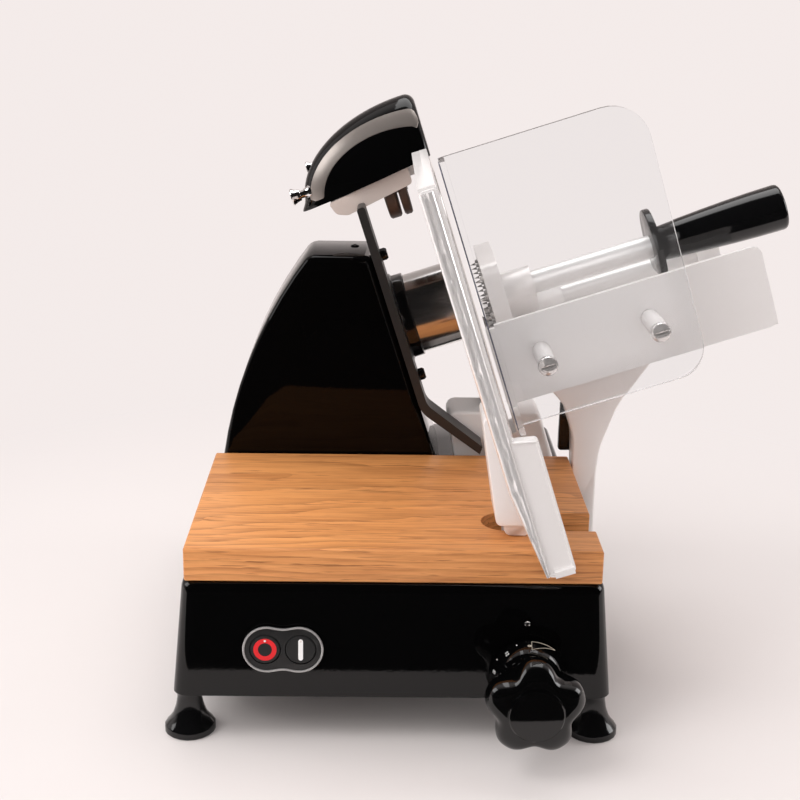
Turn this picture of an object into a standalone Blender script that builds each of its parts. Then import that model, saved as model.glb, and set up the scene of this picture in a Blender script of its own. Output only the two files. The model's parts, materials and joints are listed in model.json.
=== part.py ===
"""Food slicer with a slanted blade, modelled piece by piece.

The frame is X to the right, Y away from the user and Z up. The blade, the gauge plate and the
food tray share one slanted frame, whose axes are n (across the blade, towards the food), Y, and
m (up the blade's plane). All sizes are in metres.
"""
import bmesh
import bpy
from math import acos, asin, atan2, ceil, cos, floor, pi, radians, sin, sqrt, tan
from mathutils import Matrix, Vector

MM = 0.001

# Clearances
SEAT_GAP = 0.3 * MM
RUNNING_GAP = 0.4 * MM
SWEEP_GAP = 3 * MM
PILLAR_GAP = 0.9 * MM

# Cutting board
BOARD_WIDTH = 262 * MM
BOARD_DEPTH = 182 * MM
BOARD_THICKNESS = 22.2 * MM
BOARD_EDGE = 1.2 * MM
BOARD_SLOT_WIDTH = 31 * MM
BOARD_SLOT_CORNER = 14.7 * MM
SLOT_END_GAP = 1 * MM

# Base casting and feet
BASE_HEIGHT = 75.5 * MM
BASE_WALL = 3.5 * MM
BASE_CORNER = 10 * MM
BASE_SHOULDER = 7 * MM
BASE_SIDE_LEAN = radians(5.2)
BASE_FRONT_LEAN = radians(3.5)
BASE_REAR_MARGIN = 43 * MM
BOARD_OVERHANG = 1.5 * MM
BOTTOM_SHEET = 2 * MM
FOOT_HEIGHT = 33 * MM
FOOT_RIM_RADIUS = 16.5 * MM
FOOT_NECK_RADIUS = 8 * MM
FOOT_RIM_HEIGHT = 5 * MM
FOOT_INSET = 9 * MM

# Blade and spindle
BLADE_TILT = radians(18)
BLADE_RADIUS = 97.5 * MM
BLADE_SINK = 9.5 * MM
BLADE_PLANE = 90 * MM
BLADE_BODY = 6 * MM
BLADE_DISC = 3 * MM
BLADE_DISH_RADIUS = 58 * MM
BLADE_BEVEL = 7 * MM
CLAMP_RADIUS = 30 * MM
FLANGE_THICKNESS = 5 * MM
FLANGE_RADIUS = 26 * MM
SHAFT_RADIUS = 8 * MM
SLEEVE_RADIUS = 30 * MM
COLLAR_RADIUS = 34 * MM
COLLAR_LENGTH = 14 * MM
BEARING_RADIUS = 17.5 * MM
BEARING_WIDTH = 10 * MM

# Motor tower
TOWER_GAP = 2 * MM
TOWER_WALL_N = 30 * MM
TOWER_HEIGHT = 171 * MM
TOWER_TOP_WIDTH = 45.5 * MM
TOWER_FOOT_LEFT = 128 * MM
TOWER_BULGE = 12.7 * MM
TOWER_DEPTH = 108 * MM
TOWER_TOP_DEPTH = 66 * MM
TOWER_WALL = 3 * MM
TOWER_EDGE = 5 * MM
HUB_SETBACK = 42 * MM

# Drive
MOTOR_RADIUS = 36 * MM
MOTOR_LENGTH = 78 * MM
MOTOR_DROP = 74 * MM
MOTOR_SHAFT_RADIUS = 4 * MM
MOTOR_SHAFT_DEPTH = 16 * MM
PULLEY_WIDTH = 10 * MM
MOTOR_PULLEY_RADIUS = 10 * MM
SPINDLE_PULLEY_RADIUS = 28 * MM
BELT_THICKNESS = 2.5 * MM

# Round guard and its pedestal
GUARD_RING_GAP = 3 * MM
GUARD_RING_WIDTH = 7.5 * MM
GUARD_WEB = 4 * MM
GUARD_WEB_REACH = 13 * MM
PEDESTAL_FRONT = 18 * MM
PEDESTAL_DEPTH = 40 * MM
PEDESTAL_TOP = 27.6 * MM
PEDESTAL_LEFT_N = 40 * MM
PEDESTAL_RIGHT_N = 114 * MM

# Slice deflector
DEFLECTOR_SHEET = 6 * MM
DEFLECTOR_TOP_M = 183 * MM
DEFLECTOR_BEND_M = 28 * MM
DEFLECTOR_LIP_N = 66 * MM
DEFLECTOR_LIP_M = -18 * MM
DEFLECTOR_FRONT = -7 * MM
DEFLECTOR_WIDTH = 22 * MM
THUMB_SCREW_RADIUS = 4.5 * MM

# Gauge plate, its post and its drive
GAUGE_TRAVEL = 12 * MM
GAUGE_PLATE = 5 * MM
GAUGE_RIM = 10.5 * MM
GAUGE_FRONT = -16 * MM
GAUGE_FRONT_EDGE = 7 * MM
GAUGE_TOP_M = 212 * MM
GAUGE_BOARD_CLEAR = 5 * MM
GAUGE_FLANGE_REACH = 15 * MM
GAUGE_FLANGE_TOP_M = 49 * MM
GAUGE_FLANGE_BOTTOM_M = -40 * MM
GROOVES = 7
GROOVE_FIRST = 12 * MM
GROOVE_PITCH = 20 * MM
GROOVE_LENGTH = 100 * MM
GROOVE_WIDTH = 4 * MM
GROOVE_DEPTH = 0.8 * MM
POST_Y = 50 * MM
POST_NECK_X = 71.5 * MM
POST_NECK_WIDTH = 12 * MM
POST_NECK_DEPTH = 12 * MM
POST_FRONT_Y = 21 * MM
POST_REAR_Y = 60 * MM
POST_HEIGHT = 80 * MM
POST_LEFT_INSET = 6.5 * MM
POST_TOP_WIDTH = 9 * MM
POST_BODY_RISE = 8 * MM
POST_FOOT_RISE = 0.8 * MM
POST_FOOT_INSET = 3 * MM
GAUGE_ROD_RADIUS = 5 * MM
GAUGE_ROD_ABOVE_PINION = 31 * MM
GAUGE_BLOCK_LENGTH = 34 * MM
GAUGE_BLOCK_OFFSET = 2.5 * MM
GAUGE_BLOCK_DEPTH = 24 * MM
LUG_THICKNESS = 8 * MM
LUG_GAP = 2.5 * MM

# Thickness knob with its rack pinion
KNOB_X = 86 * MM
KNOB_Z = 50 * MM
KNOB_RADIUS = 28.5 * MM
KNOB_LENGTH = 53 * MM
KNOB_LOBES = 5
KNOB_LOBE_DEPTH = 2.8 * MM
KNOB_SKIRT_RADIUS = 20 * MM
KNOB_PANEL_GAP = 2.5 * MM
KNOB_SHAFT_RADIUS = 3.5 * MM
PINION_TEETH = 10
PINION_MODULE = 1 * MM
PINION_WIDTH = 12 * MM
TOOTH_BACKLASH = 0.4 * MM
TOOTH_ADDENDUM = 0.8 * MM
TOOTH_DEDENDUM = 1.25 * MM
PRESSURE_ANGLE = radians(20)

# Switch
SWITCH_X = -69 * MM
SWITCH_Z = 66 * MM
SWITCH_HALF_HEIGHT = 15.2 * MM
SWITCH_LOBE_OFFSET = 10.2 * MM
SWITCH_WAIST = 1.3 * MM
SWITCH_RIM = 2.4 * MM
SWITCH_DEPTH = 14 * MM
BUTTON_RADIUS = 9.6 * MM
BUTTON_LENGTH = 7 * MM
BUTTON_TRAVEL = 1.5 * MM

# Carriage, arm and tray
CARRIAGE_FORWARD = 50 * MM
CARRIAGE_BACK = 110 * MM
TRAY_GAP = 3 * MM
TRAY_LENGTH = 185 * MM
TRAY_DEPTH = 150 * MM
TRAY_SHEET = 3.5 * MM
TRAY_WALL = 4 * MM
TRAY_WALL_HEIGHT = 51.5 * MM
TRAY_BELOW_HUB = 42 * MM
TRAY_AHEAD_OF_HUB = 140 * MM
TRAY_REAR_WALL_HEIGHT = 22 * MM
TRAY_RIBS = 6
TRAY_RIB_HEIGHT = 1.2 * MM
TRAY_CORNER = 6 * MM
ARM_BEHIND_TRAY_FRONT = 80 * MM
ARM_THICKNESS = 22 * MM
ARM_WIDTH = 17.5 * MM
ARM_BOARD_CLEAR = 2 * MM
ARM_BASE_CLEAR = 2 * MM
ARM_FOOT_HEIGHT = 28 * MM
SHROUD_THICKNESS = 7 * MM
SHROUD_HEIGHT = 38 * MM
SHROUD_DEPTH = 16 * MM
CARRIAGE_ROD_RADIUS = 8 * MM
CARRIAGE_ROD_INSET = 27 * MM
CARRIAGE_ROD_Z = 72 * MM
SLIDE_BLOCK_WIDTH = 34 * MM
SLIDE_BLOCK_LENGTH = 60 * MM
SLIDE_BLOCK_HEIGHT = 30 * MM

# Hand guard
HAND_GUARD_STANDOFF = 36 * MM
HAND_GUARD_SHEET = 4 * MM
HAND_GUARD_WIDTH = 127 * MM
HAND_GUARD_HEIGHT = 178 * MM
HAND_GUARD_BELOW_FLOOR = 7 * MM
HAND_GUARD_FLANGE = 22 * MM
HAND_GUARD_CORNER = 25 * MM
SPACER_RADIUS = 6 * MM
SPACER_PITCH = 73.5 * MM
SPACER_FIRST_N = 31.5 * MM
SPACER_RISE = 26 * MM
SCREW_HEAD_RADIUS = 6.5 * MM
SCREW_HEAD_HEIGHT = 3.6 * MM
SCREW_SHANK_RADIUS = 2.5 * MM
SCREW_GRIP = 11 * MM
SCREW_SLOT = 1.6 * MM

# Pusher
PUSHER_TRAVEL = 100 * MM
PUSHER_RAIL_RADIUS = 6 * MM
PUSHER_RAIL_RISE = 26 * MM
PUSHER_RAIL_INSET = 20 * MM
PUSHER_TUBE_RISE = 55 * MM
PUSHER_TUBE_Y = 71 * MM
PUSHER_TUBE_RADIUS = 8 * MM
PUSHER_PLATE_THICKNESS = 11.5 * MM
PUSHER_PLATE_HEIGHT = 60 * MM
PUSHER_PLATE_WIDTH = 84 * MM
PUSHER_SPIKE = 6 * MM
PUSHER_DISC_N = 219 * MM
PUSHER_DISC_RADIUS = 26 * MM
PUSHER_DISC_THICKNESS = 5 * MM
PUSHER_GRIP_LENGTH = 89 * MM
PUSHER_GRIP_NECK = 12 * MM
PUSHER_GRIP_END = 16 * MM
PUSHER_GRIP_CAP = 3 * MM
LEVER_HEAD_RADIUS = 12.5 * MM
SLEEVE_LENGTH = 50 * MM
SLEEVE_COLLAR = 7.5 * MM
EYE_LENGTH = 22 * MM
EYE_RADIUS = 15 * MM
EYE_BORE = 9 * MM

# Sharpener
DOME_LENGTH = 91 * MM
DOME_HEIGHT = 57 * MM
DOME_HALF_WIDTH = 34 * MM
DOME_SHELL = 2.5 * MM
DOME_FLAT_END = 7 * MM
DOME_START_N = -7 * MM
DOME_SINK = 17 * MM
STEM_N = 79 * MM
STEM_RADIUS = 4.5 * MM
MOUNT_THICKNESS = 5.5 * MM
MOUNT_LEFT_N = 70.5 * MM
MOUNT_WIDTH = 30 * MM
ARM_PLATE_THICKNESS = 6 * MM
SLAB_LEFT_N = 14 * MM
SLAB_RIGHT_N = 73 * MM
SLAB_WIDTH = 50 * MM
SLAB_THICKNESS = 13 * MM
BRIDGE_WIDTH = 26 * MM
BRIDGE_START_N = 24 * MM
STONE_POCKET_GAP = 1.5 * MM
STONE_RADIUS = 20 * MM
STONE_AXLE_RADIUS = 2.7 * MM
GRIND_STONE_WIDTH = 8.8 * MM
HONE_STONE_WIDTH = 6 * MM
GRIND_STONE_N = 50 * MM
HONE_STONE_N = 61 * MM
PUSH_PIN_RADIUS = 3 * MM

# Rear cord gland
GLAND_RADIUS = 7 * MM
GLAND_LENGTH = 16 * MM
GLAND_X = -95 * MM
GLAND_Z = 62 * MM
CORD_BORE = 3.4 * MM

# Worked-out places
TILT_COS = cos(BLADE_TILT)
TILT_SIN = sin(BLADE_TILT)
BASE_BOTTOM_Z = FOOT_HEIGHT
BASE_TOP_Z = BASE_BOTTOM_Z + BASE_HEIGHT
BOARD_BOTTOM_Z = BASE_TOP_Z + SEAT_GAP
BOARD_TOP_Z = BOARD_BOTTOM_Z + BOARD_THICKNESS
BOARD_RIGHT = BOARD_WIDTH / 2
TOWER_FRONT_Y = BOARD_DEPTH + TOWER_GAP
HUB_Y = TOWER_FRONT_Y + HUB_SETBACK
HUB_M = BLADE_RADIUS - BLADE_SINK
BLADE_BACK_N = BLADE_PLANE - BLADE_BODY
FLANGE_BACK_N = BLADE_BACK_N - SEAT_GAP - FLANGE_THICKNESS
SLEEVE_END_N = FLANGE_BACK_N - RUNNING_GAP
COLLAR_START_N = TOWER_WALL_N + SEAT_GAP
COLLAR_END_N = COLLAR_START_N + COLLAR_LENGTH
SLEEVE_START_N = COLLAR_END_N + SEAT_GAP
GUARD_RING_INNER = BLADE_RADIUS + GUARD_RING_GAP
GUARD_RING_OUTER = GUARD_RING_INNER + GUARD_RING_WIDTH
GUARD_RING_FACE_N = BLADE_PLANE - SEAT_GAP
GUARD_RING_BACK_N = BLADE_BACK_N - GUARD_RING_GAP - GUARD_WEB
TRAY_LEFT_N = BLADE_PLANE + TRAY_GAP
TRAY_RIGHT_N = TRAY_LEFT_N + TRAY_LENGTH
TRAY_FLOOR_M = HUB_M - TRAY_BELOW_HUB
TRAY_UNDER_M = TRAY_FLOOR_M - TRAY_SHEET
TRAY_FRONT_Y = HUB_Y - TRAY_AHEAD_OF_HUB
TRAY_REAR_Y = TRAY_FRONT_Y + TRAY_DEPTH
ARM_FRONT_Y = TRAY_FRONT_Y + ARM_BEHIND_TRAY_FRONT
ARM_REAR_Y = ARM_FRONT_Y + ARM_THICKNESS
ARM_NECK_X = BOARD_RIGHT + ARM_BOARD_CLEAR
CARRIAGE_ROD_X = BOARD_RIGHT - CARRIAGE_ROD_INSET
SLIDE_BLOCK_Y = ARM_FRONT_Y + ARM_THICKNESS / 2
BASE_FRONT_TOP_Y = BOARD_OVERHANG
BASE_REAR_Y = TOWER_FRONT_Y + TOWER_DEPTH + BASE_REAR_MARGIN
GAUGE_FACE_N = BLADE_PLANE - SEAT_GAP
PINION_RADIUS = PINION_TEETH * PINION_MODULE / 2

# Finishes: base colour, roughness and metallic value
FINISHES = {
    "black_lacquer": ((0.006, 0.006, 0.007), 0.12, 0.0),
    "black_plastic": ((0.012, 0.012, 0.013), 0.25, 0.0),
    "black_satin": ((0.02, 0.02, 0.022), 0.45, 0.0),
    "rubber": ((0.015, 0.015, 0.015), 0.8, 0.0),
    "oak": ((0.48, 0.24, 0.09), 0.5, 0.0),
    "cast_aluminium": ((0.72, 0.72, 0.73), 0.35, 1.0),
    "satin_aluminium": ((0.78, 0.78, 0.79), 0.28, 1.0),
    "silver_paint": ((0.80, 0.80, 0.81), 0.4, 0.3),
    "steel": ((0.62, 0.62, 0.63), 0.2, 1.0),
    "chrome": ((0.85, 0.85, 0.86), 0.08, 1.0),
    "champagne": ((0.62, 0.57, 0.52), 0.3, 1.0),
    "acrylic": ((0.86, 0.89, 0.92), 0.05, 0.0),
    "stone": ((0.09, 0.05, 0.035), 0.9, 0.0),
    "brass": ((0.72, 0.52, 0.22), 0.3, 1.0),
}

# Scene and collections

def clear_scene():
    """Remove every object of the open file."""
    for old in list(bpy.data.objects):
        bpy.data.objects.remove(old, do_unlink=True)


def collection(name):
    """The named collection, made and linked when it is missing."""
    found = bpy.data.collections.get(name)
    if found is None:
        found = bpy.data.collections.new(name)
        bpy.context.scene.collection.children.link(found)
    return found


def frame_empty(name, parent=None, place=(0, 0, 0), turn=(0, 0, 0)):
    """An empty that carries the pieces of one sub-assembly."""
    empty = bpy.data.objects.new(name, None)
    empty.empty_display_size = 20 * MM
    empty.location = place
    empty.rotation_euler = turn
    empty.parent = parent
    collection("guides").objects.link(empty)
    return empty


# Materials

def paint(piece, finish):
    """Give a piece its own Principled material."""
    colour, roughness, metallic = FINISHES[finish]
    material = bpy.data.materials.new(f"{piece.name}_{finish}")
    material.use_nodes = True
    shader = material.node_tree.nodes["Principled BSDF"]
    shader.inputs["Base Color"].default_value = (*colour, 1.0)
    shader.inputs["Roughness"].default_value = roughness
    shader.inputs["Metallic"].default_value = metallic
    material.diffuse_color = (*colour, 1.0)
    piece.data.materials.clear()
    piece.data.materials.append(material)


# Meshes

def mesh_from(builder):
    """A mesh filled by a function that works on a BMesh."""
    mesh = bpy.data.meshes.new("shape")
    work = bmesh.new()
    builder(work)
    bmesh.ops.recalc_face_normals(work, faces=work.faces)
    work.to_mesh(mesh)
    work.free()
    return mesh


def box(low, high):
    """A box between two corners."""
    low, high = Vector(low), Vector(high)
    size = high - low

    def build(work):
        bmesh.ops.create_cube(work, size=1)
        bmesh.ops.scale(work, vec=size, verts=work.verts)
        bmesh.ops.translate(work, vec=(low + high) / 2, verts=work.verts)
    return mesh_from(build)


def rod(radius, start, end, sides=32, end_radius=None):
    """A round bar or cone between two points."""
    start, end = Vector(start), Vector(end)
    length = (end - start).length
    turn = (end - start).to_track_quat("Z", "Y").to_matrix().to_4x4()
    tip = radius if end_radius is None else end_radius

    def build(work):
        bmesh.ops.create_cone(work, cap_ends=True, segments=sides, radius1=radius, radius2=tip,
                              depth=length)
        bmesh.ops.transform(work, matrix=turn, verts=work.verts)
        bmesh.ops.translate(work, vec=(start + end) / 2, verts=work.verts)
    return mesh_from(build)


def plate(outline, low, high, axis="Y"):
    """A flat outline given thickness between two places on the axis that it stands across."""
    def standing(across, along, depth):
        return {"X": (depth, across, along), "Y": (across, depth, along),
                "Z": (across, along, depth)}[axis]

    def build(work):
        flat = work.faces.new([work.verts.new(standing(*point, low)) for point in outline])
        grown = bmesh.ops.extrude_face_region(work, geom=[flat])["geom"]
        moved = [made for made in grown if isinstance(made, bmesh.types.BMVert)]
        bmesh.ops.translate(work, vec=standing(0, 0, high - low), verts=moved)
    return mesh_from(build)


def loft(loops):
    """A closed skin over loops of points that all have the same count."""
    def build(work):
        rings = [[work.verts.new(point) for point in loop] for loop in loops]
        for lower, upper in zip(rings, rings[1:]):
            for index in range(len(lower)):
                follow = (index + 1) % len(lower)
                work.faces.new((lower[index], lower[follow], upper[follow], upper[index]))
        work.faces.new(list(reversed(rings[0])))
        work.faces.new(rings[-1])
    return mesh_from(build)


# Outlines

def arc(centre, radius, first, last, steps):
    """Points along a circular arc, angles in radians."""
    return [(centre[0] + radius * cos(first + (last - first) * i / steps),
             centre[1] + radius * sin(first + (last - first) * i / steps)) for i in range(steps + 1)]


def bulged(start, end, bulge, steps):
    """Points from start to end along an arc that stands out by bulge to the left of the way."""
    chord = Vector(end) - Vector(start)
    half = chord.length / 2
    radius = (half * half + bulge * bulge) / (2 * bulge)
    side = Vector((-chord.y, chord.x)).normalized()
    centre = (Vector(start) + Vector(end)) / 2 - side * (radius - bulge)
    spread = asin(half / radius)
    middle = atan2(side.y, side.x)
    return [(centre.x + radius * cos(middle + spread * (1 - 2 * i / steps)),
             centre.y + radius * sin(middle + spread * (1 - 2 * i / steps))) for i in range(steps + 1)]


def rounded(corners, steps=6):
    """A polygon whose corners (x, y, radius) are filleted with arcs."""
    points = []
    count = len(corners)
    for index, (x, y, radius) in enumerate(corners):
        here = Vector((x, y))
        back = Vector(corners[index - 1][:2]) - here
        ahead = Vector(corners[(index + 1) % count][:2]) - here
        if radius <= 0:
            points.append((x, y))
            continue
        half_angle = back.angle(ahead) / 2
        reach = radius / tan(half_angle)
        centre = here + (back.normalized() + ahead.normalized()).normalized() * radius / sin(half_angle)
        first = here + back.normalized() * reach - centre
        last = here + ahead.normalized() * reach - centre
        sweep = first.angle_signed(last)
        start = atan2(first.y, first.x)
        points += [(centre.x + radius * cos(start - sweep * i / steps),
                    centre.y + radius * sin(start - sweep * i / steps)) for i in range(steps + 1)]
    return points


def rounded_rectangle(left, right, low, high, radius, steps=6):
    """A rectangle with filleted corners, anticlockwise from the low left one."""
    return rounded([(left, low, radius), (right, low, radius), (right, high, radius),
                    (left, high, radius)], steps)


# Objects

def piece(name, mesh, finish, parent, place=(0, 0, 0), edge=0.0, edge_steps=2):
    """One physical piece of the slicer, in its own named object."""
    mesh.name = name
    mesh.shade_smooth()
    mesh.set_sharp_from_angle(angle=radians(35))
    made = bpy.data.objects.new(name, mesh)
    made.parent = parent
    made.location = place
    collection("food_slicer").objects.link(made)
    paint(made, finish)
    if edge > 0:
        bevel = made.modifiers.new("edges", "BEVEL")
        bevel.width = edge
        bevel.segments = edge_steps
        bevel.limit_method = "ANGLE"
        bevel.angle_limit = radians(40)
    return made


def turned(name, profile, finish, parent, place=(0, 0, 0), steps=32, axis="Z"):
    """A turned piece: (radius, height) points round the axis, closed on the axis or on themselves."""
    area = sum(a[0] * b[1] - b[0] * a[1] for a, b in zip(profile, profile[1:] + profile[:1]))
    ordered = profile if area < 0 else list(reversed(profile))
    on_axis = [i for i, (radius, _) in enumerate(ordered) if radius == 0]
    mesh = bpy.data.meshes.new(name)
    edges = [(i, i + 1) for i in range(len(ordered) - 1)]
    if on_axis:
        start = next(i for i in on_axis if ordered[i - 1][0] == 0)
        ordered = ordered[start:] + ordered[:start]
    else:
        edges.append((len(ordered) - 1, 0))
    mesh.from_pydata([(radius, 0, height) for radius, height in ordered], edges, [])
    made = bpy.data.objects.new(name, mesh)
    made.parent = parent
    made.location = place
    made.rotation_euler = {"Z": (0, 0, 0), "Y": (-pi / 2, 0, 0), "X": (0, pi / 2, 0)}[axis]
    collection("food_slicer").objects.link(made)
    paint(made, finish)
    screw = made.modifiers.new("turn", "SCREW")
    screw.steps = steps
    screw.render_steps = steps
    screw.use_merge_vertices = True
    screw.merge_threshold = 0.001 * MM
    screw.use_smooth_shade = True
    return made


def tool(name, mesh, parent, place=(0, 0, 0), turn=(0, 0, 0)):
    """A cutter or an added form, kept out of the model."""
    made = bpy.data.objects.new(name, mesh)
    made.parent = parent
    made.location = place
    made.rotation_euler = turn
    made.hide_render = True
    made.display_type = "WIRE"
    collection("cutters").objects.link(made)
    return made


def boolean(target, helper, operation):
    """Cut or join one object with another."""
    step = target.modifiers.new(helper.name, "BOOLEAN")
    step.operation = operation
    step.solver = "EXACT"
    step.object = helper


def cut(target, name, mesh, parent, place=(0, 0, 0), turn=(0, 0, 0)):
    """Take a shape away from a piece."""
    boolean(target, tool(f"{target.name}_{name}", mesh, parent, place, turn), "DIFFERENCE")


def join(target, name, mesh, parent, place=(0, 0, 0), turn=(0, 0, 0)):
    """Add a shape to a piece, as one body."""
    boolean(target, tool(f"{target.name}_{name}", mesh, parent, place, turn), "UNION")


# Slanted frame

def slant_to_root(across, up):
    """X and Z of a point given by n and m, Z counted from the board's top."""
    return across * TILT_COS - up * TILT_SIN, across * TILT_SIN + up * TILT_COS


def slant_m_at(across, height):
    """The m of the point on a line of constant n that lies at a height above the board's top."""
    return (height - across * TILT_SIN) / TILT_COS


def root_outline(points):
    """Outline corners (x, height above the board's top, radius) raised to the root frame."""
    return [(x, BOARD_TOP_Z + z, radius) for x, z, radius in points]


# Base

def base_loop(height, skin):
    """The base's rounded outline at a height, drawn in by skin from the outside."""
    rise = height - BASE_BOTTOM_Z
    shoulder_low = BASE_HEIGHT - BASE_SHOULDER
    below = min(rise, shoulder_low)
    over = max(0, rise - shoulder_low)
    round_in = BASE_SHOULDER - sqrt(max(0, BASE_SHOULDER ** 2 - over ** 2))
    side = base_half_width_bottom() - below * tan(BASE_SIDE_LEAN) - round_in * 0.6 - skin
    front = base_front_bottom_y() + below * tan(BASE_FRONT_LEAN) + round_in * 0.6 + skin
    rear = BASE_REAR_Y - below * tan(BASE_FRONT_LEAN) - round_in * 0.6 - skin
    corner = max(BASE_CORNER - skin, 2 * MM)
    return [(x, y, height) for x, y in rounded_rectangle(-side, side, front, rear, corner, 4)]


def base_half_width_bottom():
    """Half the base's width where it meets the feet."""
    return (BOARD_RIGHT - BOARD_OVERHANG + BASE_SHOULDER * 0.6
            + (BASE_HEIGHT - BASE_SHOULDER) * tan(BASE_SIDE_LEAN))


def base_front_bottom_y():
    """The front face's place at the base's bottom edge."""
    return BASE_FRONT_TOP_Y - BASE_SHOULDER * 0.6 - (BASE_HEIGHT - BASE_SHOULDER) * tan(BASE_FRONT_LEAN)


def base_front_y(height):
    """The front face's place at a height, below the shoulder."""
    return base_front_bottom_y() + (height - BASE_BOTTOM_Z) * tan(BASE_FRONT_LEAN)


def base_side_x(height):
    """The right side's place at a height, below the shoulder."""
    return base_half_width_bottom() - (height - BASE_BOTTOM_Z) * tan(BASE_SIDE_LEAN)


def shell_heights(top, steps=4):
    """Heights of the base's loops: the straight side, then the shoulder's arc."""
    shoulder_low = BASE_TOP_Z - BASE_SHOULDER
    rises = [BASE_SHOULDER * sin(pi / 2 * i / steps) for i in range(steps + 1)]
    return [shoulder_low + rise for rise in rises if shoulder_low + rise < top - 0.1 * MM] + [top]


def foot_places():
    """Centres of the four feet with the words that name them."""
    x = base_half_width_bottom() - FOOT_INSET
    front = base_front_bottom_y() + FOOT_INSET + FOOT_NECK_RADIUS
    rear = BASE_REAR_Y - FOOT_INSET - FOOT_NECK_RADIUS
    return {"front_left": (-x, front), "front_right": (x, front),
            "rear_left": (-x, rear), "rear_right": (x, rear)}


def gauge_drive():
    """X of the gauge slide's middle and Z of the level rod that it rides on."""
    return KNOB_X + GAUGE_BLOCK_OFFSET, KNOB_Z + GAUGE_ROD_ABOVE_PINION


def gauge_lug_places():
    """X of the two lugs that hold the gauge rod, clear of the sliding block."""
    block_x, _ = gauge_drive()
    reach = (GAUGE_BLOCK_LENGTH + LUG_THICKNESS) / 2 + LUG_GAP
    return block_x - reach - GAUGE_TRAVEL, block_x + reach


def carriage_rod_span():
    """Start and end of the carriage rod along Y, and the inner faces of its two lugs."""
    front = SLIDE_BLOCK_Y - CARRIAGE_FORWARD - SLIDE_BLOCK_LENGTH / 2 - SWEEP_GAP
    rear = SLIDE_BLOCK_Y + CARRIAGE_BACK + SLIDE_BLOCK_LENGTH / 2 + SWEEP_GAP
    return front - LUG_THICKNESS + 1 * MM, rear + LUG_THICKNESS - 1 * MM, front, rear


def add_rod_lugs(shell, root):
    """Cast lugs inside the base for the carriage rod and the gauge rod."""
    _, _, front, rear = carriage_rod_span()
    top = BASE_TOP_Z - 1 * MM
    half = CARRIAGE_ROD_RADIUS + 4 * MM
    for label, low, high in (("front", front - LUG_THICKNESS, front), ("rear", rear, rear + LUG_THICKNESS)):
        lug = box((CARRIAGE_ROD_X - half, low, CARRIAGE_ROD_Z - half),
                  (CARRIAGE_ROD_X + half, high, top))
        join(shell, f"rod_lug_{label}", lug, root)
    _, rod_z = gauge_drive()
    for label, x in zip(("left", "right"), gauge_lug_places()):
        half = LUG_THICKNESS / 2
        lug = box((x - half, POST_Y - GAUGE_BLOCK_DEPTH / 2, rod_z - GAUGE_ROD_RADIUS - 4 * MM),
                  (x + half, POST_Y + GAUGE_BLOCK_DEPTH / 2, top))
        join(shell, f"gauge_lug_{label}", lug, root)
    inner_y = base_front_y(KNOB_Z) + BASE_WALL
    boss = rod(KNOB_SHAFT_RADIUS + 4 * MM, (KNOB_X, inner_y - 1.5 * MM, KNOB_Z),
               (KNOB_X, inner_y + 14 * MM, KNOB_Z), 20)
    join(shell, "knob_boss", boss, root)


def cut_base_openings(shell, root):
    """Openings for the switch, knob shaft, carriage arm, gauge post, drive, rods and cord gland."""
    panel = panel_frame(root)
    hole = plate(switch_outline(SEAT_GAP + SWITCH_RIM), -5 * MM, SWITCH_DEPTH, "Y")
    cut(shell, "switch_hole", hole, panel)
    knob_hole = rod(KNOB_SHAFT_RADIUS + RUNNING_GAP, (KNOB_X, -20 * MM, KNOB_Z),
                    (KNOB_X, 35 * MM, KNOB_Z), 24)
    cut(shell, "knob_hole", knob_hole, root)
    side = base_half_width_bottom()
    slot = box((side - 4 * BASE_WALL, ARM_FRONT_Y - CARRIAGE_FORWARD - SWEEP_GAP,
                CARRIAGE_ROD_Z - ARM_FOOT_HEIGHT / 2 - SWEEP_GAP),
               (side + 10 * MM, ARM_REAR_Y + CARRIAGE_BACK + SWEEP_GAP,
                CARRIAGE_ROD_Z + ARM_FOOT_HEIGHT / 2 + SWEEP_GAP))
    cut(shell, "arm_slot", slot, root)
    reach = GAUGE_TRAVEL + 2 * MM
    post_hole = box((POST_NECK_X - reach, POST_Y - POST_NECK_DEPTH / 2 - 2 * MM, BASE_TOP_Z - 3 * BASE_WALL),
                    (POST_NECK_X + POST_NECK_WIDTH + 3 * MM, POST_Y + POST_NECK_DEPTH / 2 + 2 * MM,
                     BASE_TOP_Z + 5 * MM))
    cut(shell, "post_hole", post_hole, root)
    drive_hole = box((-TOWER_FOOT_LEFT + 20 * MM, TOWER_FRONT_Y + 8 * MM, BASE_TOP_Z - 3 * BASE_WALL),
                     (tower_right_x(BASE_TOP_Z) - 8 * MM, TOWER_FRONT_Y + TOWER_DEPTH - 8 * MM,
                      BASE_TOP_Z + 5 * MM))
    cut(shell, "drive_hole", drive_hole, root)
    start, end, _, _ = carriage_rod_span()
    bore = rod(CARRIAGE_ROD_RADIUS + SEAT_GAP, (CARRIAGE_ROD_X, start, CARRIAGE_ROD_Z),
               (CARRIAGE_ROD_X, end, CARRIAGE_ROD_Z))
    cut(shell, "carriage_rod_bore", bore, root)
    _, rod_z = gauge_drive()
    low, high = gauge_lug_places()
    bore = rod(GAUGE_ROD_RADIUS + SEAT_GAP, (low - LUG_THICKNESS, POST_Y, rod_z),
               (high + LUG_THICKNESS, POST_Y, rod_z), 24)
    cut(shell, "gauge_rod_bore", bore, root)
    gland_hole = rod(GLAND_RADIUS - 2 * MM + SEAT_GAP, (GLAND_X, BASE_REAR_Y - 20 * MM, GLAND_Z),
                     (GLAND_X, BASE_REAR_Y + 20 * MM, GLAND_Z), 24)
    cut(shell, "gland_hole", gland_hole, root)


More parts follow.
